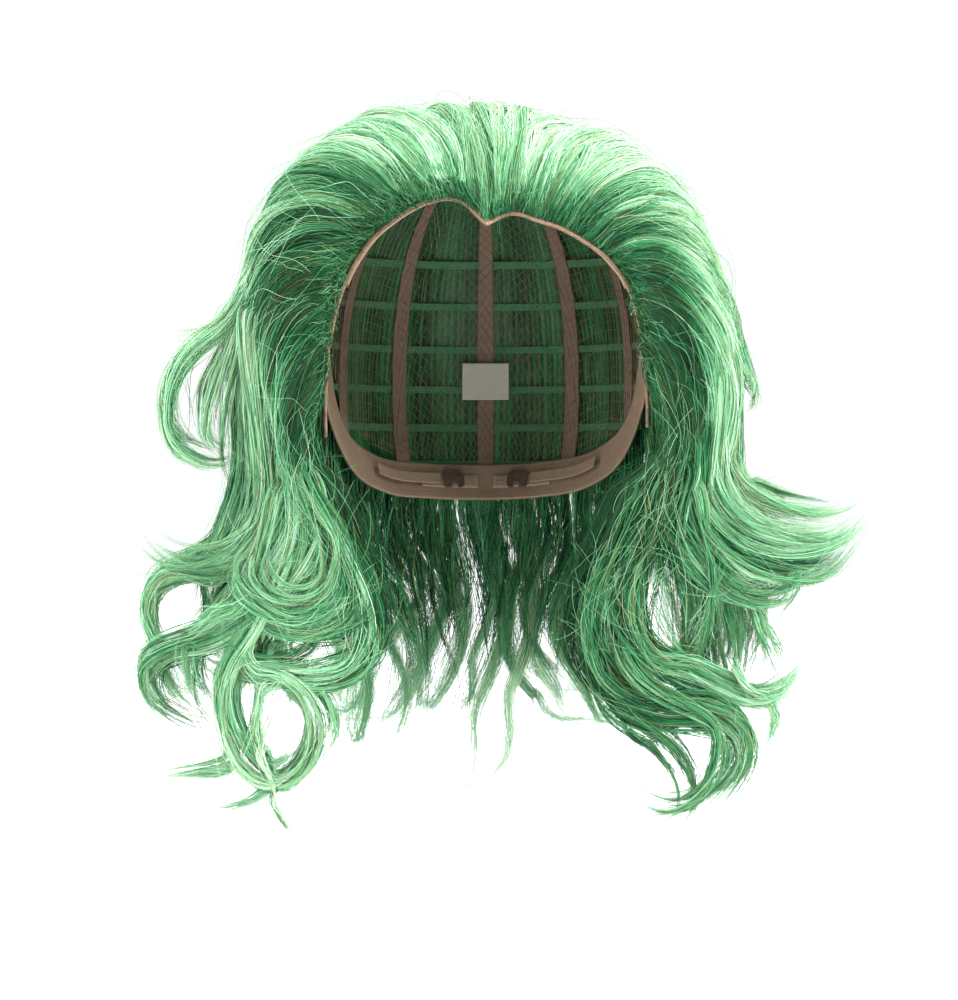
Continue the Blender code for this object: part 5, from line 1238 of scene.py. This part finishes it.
def strays(body, n):
    """Single fine hairs that have come loose and cross the curls."""
    n = int(n * SHARE)
    m = 13
    pool = np.concatenate([P[:, 4:-4].reshape(-1, 3) for P, R, at in GROUPS[body] if P.shape[1] in (28, 30, 34, 38, 40)])
    way = np.concatenate([(P[:, 5:-3] - P[:, 3:-5]).reshape(-1, 3) for P, R, at in GROUPS[body] if P.shape[1] in (28, 30, 34, 38, 40)])
    low = np.nonzero(pool[:, 2] < -0.128)[0]
    pick = low[rng.integers(0, len(low), n)]
    p0, t = pool[pick], unit(way[pick])
    t = unit(t + rng.normal(0, 0.38, (n, 3)))
    bend = np.cross(t, rng.normal(0, 1, (n, 3)))
    s = np.linspace(-0.5, 0.5, m)[None, :, None]
    L = rng.uniform(0.018, 0.060, (n, 1))[..., None]
    P = p0[:, None] + t[:, None] * L * s + unit(bend)[:, None] * L * (s**2 - 0.08) * rng.uniform(0.2, 1.3, (n, 1))[..., None]
    P[..., 1] -= rng.uniform(0.0, 0.005, (n, 1))
    P = clear_tabs(P + wobble(n, m, (0.8, 1.6), (0.7 * MM, 0.3 * MM)))
    at = paint(n, m, 0.60, np.zeros(n), np.zeros(n), root=0.0, spread=0.14)
    GROUPS[body].append((P, radii(n, m, 0.000085, tip=0.5), at))


for body in GROUPS:
    GROUPS[body] = [(clear_tabs(open_holes(P)), R, shade_face(P, dict(at))) for P, R, at in GROUPS[body]]
CAP_SETS = [(clear_tabs(P), R, at) for P, R, at in CAP_SETS]
for body in (LEFT, RIGHT):
    strays(body, 330)


# ---------------------------------------------------------------- group the strands into pieces
LIMIT = 92000  # quads in one piece


def pieces_from(prefix, sets):
    out, now, size = [], [], 0
    for P, R, at in sets:
        n, m = R.shape
        per = (m - 1) * 3
        i = 0
        while i < n:
            room = max(1, int((LIMIT - size) / per))
            j = min(n, i + room)
            now.append((P[i:j], R[i:j], {k: v[i:j] for k, v in at.items()}))
            size += (j - i) * per
            i = j
            if size >= LIMIT - per:
                out.append(now)
                now, size = [], 0
    if now:
        out.append(now)
    return [merge_tubes(f"{prefix}_{i + 1}", group) for i, group in enumerate(out)]


# finite and inside the space the part keeps for hair
LOW = np.array([-0.172, -0.096, -0.316])
HIGH = np.array([0.184, 0.166, 0.040])


def tidy(sets):
    return [(np.clip(np.nan_to_num(P), LOW, HIGH), R, at) for P, R, at in sets]


NAMES = {"left_side_hair": "left_hair", "right_side_hair": "right_hair", "back_hair": "back_strands"}
made = {}
for body, sets in GROUPS.items():
    order = rng.permutation(len(sets))
    made[body] = pieces_from(NAMES[body], tidy(sets))
    for ob in made[body]:
        dress(ob, HAIR, None, "hair")
        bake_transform(ob)


def tab_hair(side):
    """Short hair sewn to an ear tab, close to its outer face; it bends with the tab."""
    n = int(330 * SHARE)
    m = 11
    s = np.linspace(0, 1, m)[None, :]
    edge_on = rng.random(n) < 0.45
    th0 = np.where(edge_on, rng.uniform(61.0, 63.0, n), rng.uniform(62.5, 83.0, n))[:, None]
    top, low = u_of_z(TAB_TOP_Z - 0.003), hem_u(th0)
    u0 = top + (low - top) * rng.uniform(0.0, 0.8, (n, 1))
    u1 = np.minimum(u0 + rng.uniform(0.12, 0.26, (n, 1)), low + 0.035)
    th = th0 + (np.where(edge_on[:, None], 5.0, 3.0) * s - np.where(edge_on[:, None], 1.6, 0.0) * np.sin(s * math.pi)) * rng.uniform(0.5, 1.0, (n, 1))
    d = 0.0026 + 0.0014 * np.sin(np.clip(s * 2.2, 0, math.pi / 2)) * rng.uniform(0.5, 1.0, (n, 1))
    P = surf(side * th, u0 + (u1 - u0) * s, d) + wobble(n, m, (1.0, 2.4), (0.25 * MM, 0.10 * MM)) * smooth(s, 0.1, 0.7)[..., None]
    return P, radii(n, m, 0.00014, tip=0.4), paint(n, m, 0.34, np.zeros(n), np.zeros(n), np.broadcast_to(s, (n, m)), root=0.06, spread=0.10)


for side, sign in (("left", -1), ("right", 1)):
    dress(pieces_from(f"{side}_tab_hair", [tab_hair(sign)])[0], HAIR, f"{side}_ear_tab", "hair")

made["cap"] = pieces_from("scalp_hair", tidy(CAP_SETS))
for ob in made["cap"]:
    dress(ob, HAIR, "cap", "hair")

dress(scalp_mat(), HAIR, "cap", "hair")

record_nodes = frame["record"]["behaviour"]["bodies"]
for body in ("left_side_hair", "right_side_hair", "back_hair"):
    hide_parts(*record_nodes[body])
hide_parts(*[n for n in record_nodes["cap"] if n in ("crown_hair", "front_hair_left", "front_hair_right", "upper_side_hair_left", "upper_side_hair_right", "upper_back_hair_left", "upper_back_hair_right")])

# ---------------------------------------------------------------- floor, light and camera
def floor():
    """A wide pale floor just under the hair."""
    n = 24
    g = np.linspace(-7.0, 7.0, n)
    X, Y = np.meshgrid(g, g, indexing="ij")
    verts = np.stack([X.ravel(), Y.ravel(), np.full(n * n, -0.345)], -1)
    i, j = np.meshgrid(np.arange(n - 1), np.arange(n - 1), indexing="ij")
    i, j = i.ravel(), j.ravel()
    quads = np.stack([i * n + j, (i + 1) * n + j, (i + 1) * n + j + 1, i * n + j + 1], -1)
    ob = mesh_object("studio_floor", verts, quads)
    m, nt, b = material("studio_white")
    noise = node(nt, "ShaderNodeTexNoise", Scale=3.0, Detail=2.0)
    r = ramp(nt, [(0.0, (0.93, 0.93, 0.935)), (1.0, (0.96, 0.96, 0.96))])
    nt.links.new(noise.outputs["Fac"], r.inputs["Fac"])
    nt.links.new(r.outputs["Color"], b.inputs["Base Color"])
    nt.links.new(r.outputs["Color"], b.inputs["Emission Color"])
    coord = nt.nodes.new("ShaderNodeTexCoord")
    far = nt.nodes.new("ShaderNodeVectorMath")
    far.operation = "LENGTH"
    nt.links.new(coord.outputs["Object"], far.inputs[0])
    spread = nt.nodes.new("ShaderNodeMapRange")
    spread.interpolation_type = "SMOOTHSTEP"
    for k, v in (("From Min", 0.35), ("From Max", 1.3), ("To Min", 0.30), ("To Max", 1.1)):
        spread.inputs[k].default_value = v
    nt.links.new(far.outputs["Value"], spread.inputs["Value"])
    nt.links.new(spread.outputs["Result"], b.inputs["Emission Strength"])
    b.inputs["Roughness"].default_value = 0.7
    ob.data.materials.append(m)
    return ob


floor()


def area(name, loc, target, size, power, colour=(1, 1, 1)):
    data = bpy.data.lights.new(name, "AREA")
    data.shape = "RECTANGLE"
    data.size, data.size_y = size
    data.energy = power
    data.color = colour
    ob = bpy.data.objects.new(name, data)
    ob.location = loc
    ob.rotation_euler = (Vector(target) - Vector(loc)).to_track_quat("-Z", "Y").to_euler()
    bpy.context.scene.collection.objects.link(ob)
    return ob


area("key_right", (1.05, -1.15, 0.95), (0.02, 0, -0.10), (0.8, 0.8), 42)
area("fill_left", (-1.25, -1.05, 0.35), (-0.02, 0, -0.14), (1.0, 1.0), 17)
area("top", (0.0, 0.10, 1.3), (0, 0, -0.05), (1.2, 0.9), 26)
area("back_left", (-0.9, 1.0, 0.6), (0, 0, -0.10), (0.8, 0.8), 9)
area("back_right", (0.9, 1.0, 0.6), (0, 0, -0.10), (0.8, 0.8), 9)

world = bpy.data.worlds.new("studio")
bpy.context.scene.world = world
world.use_nodes = True
wt = world.node_tree
back = wt.nodes["Background"]
back.inputs["Color"].default_value = (1, 1, 1, 1)
path = wt.nodes.new("ShaderNodeLightPath")
strength = math_node(wt, "ADD", math_node(wt, "MULTIPLY", path.outputs["Is Camera Ray"], 0.55), 0.5)
wt.links.new(strength, back.inputs["Strength"])

# the picture's own view: level, from 1.6 m in front
cam_data = bpy.data.cameras.new("camera")
cam_data.sensor_fit = "VERTICAL"
cam_data.sensor_height = 36.0
cam_data.sensor_width = 36.0
DISTANCE = 1.6
cam_data.lens = 36.0 * DISTANCE / 0.460
cam = bpy.data.objects.new("camera", cam_data)
cam.location = (-0.0032, -DISTANCE, -0.1549)
cam.rotation_euler = (math.radians(90), 0, 0)
bpy.context.scene.collection.objects.link(cam)
bpy.context.scene.camera = cam
bpy.context.scene.view_settings.view_transform = "Standard"
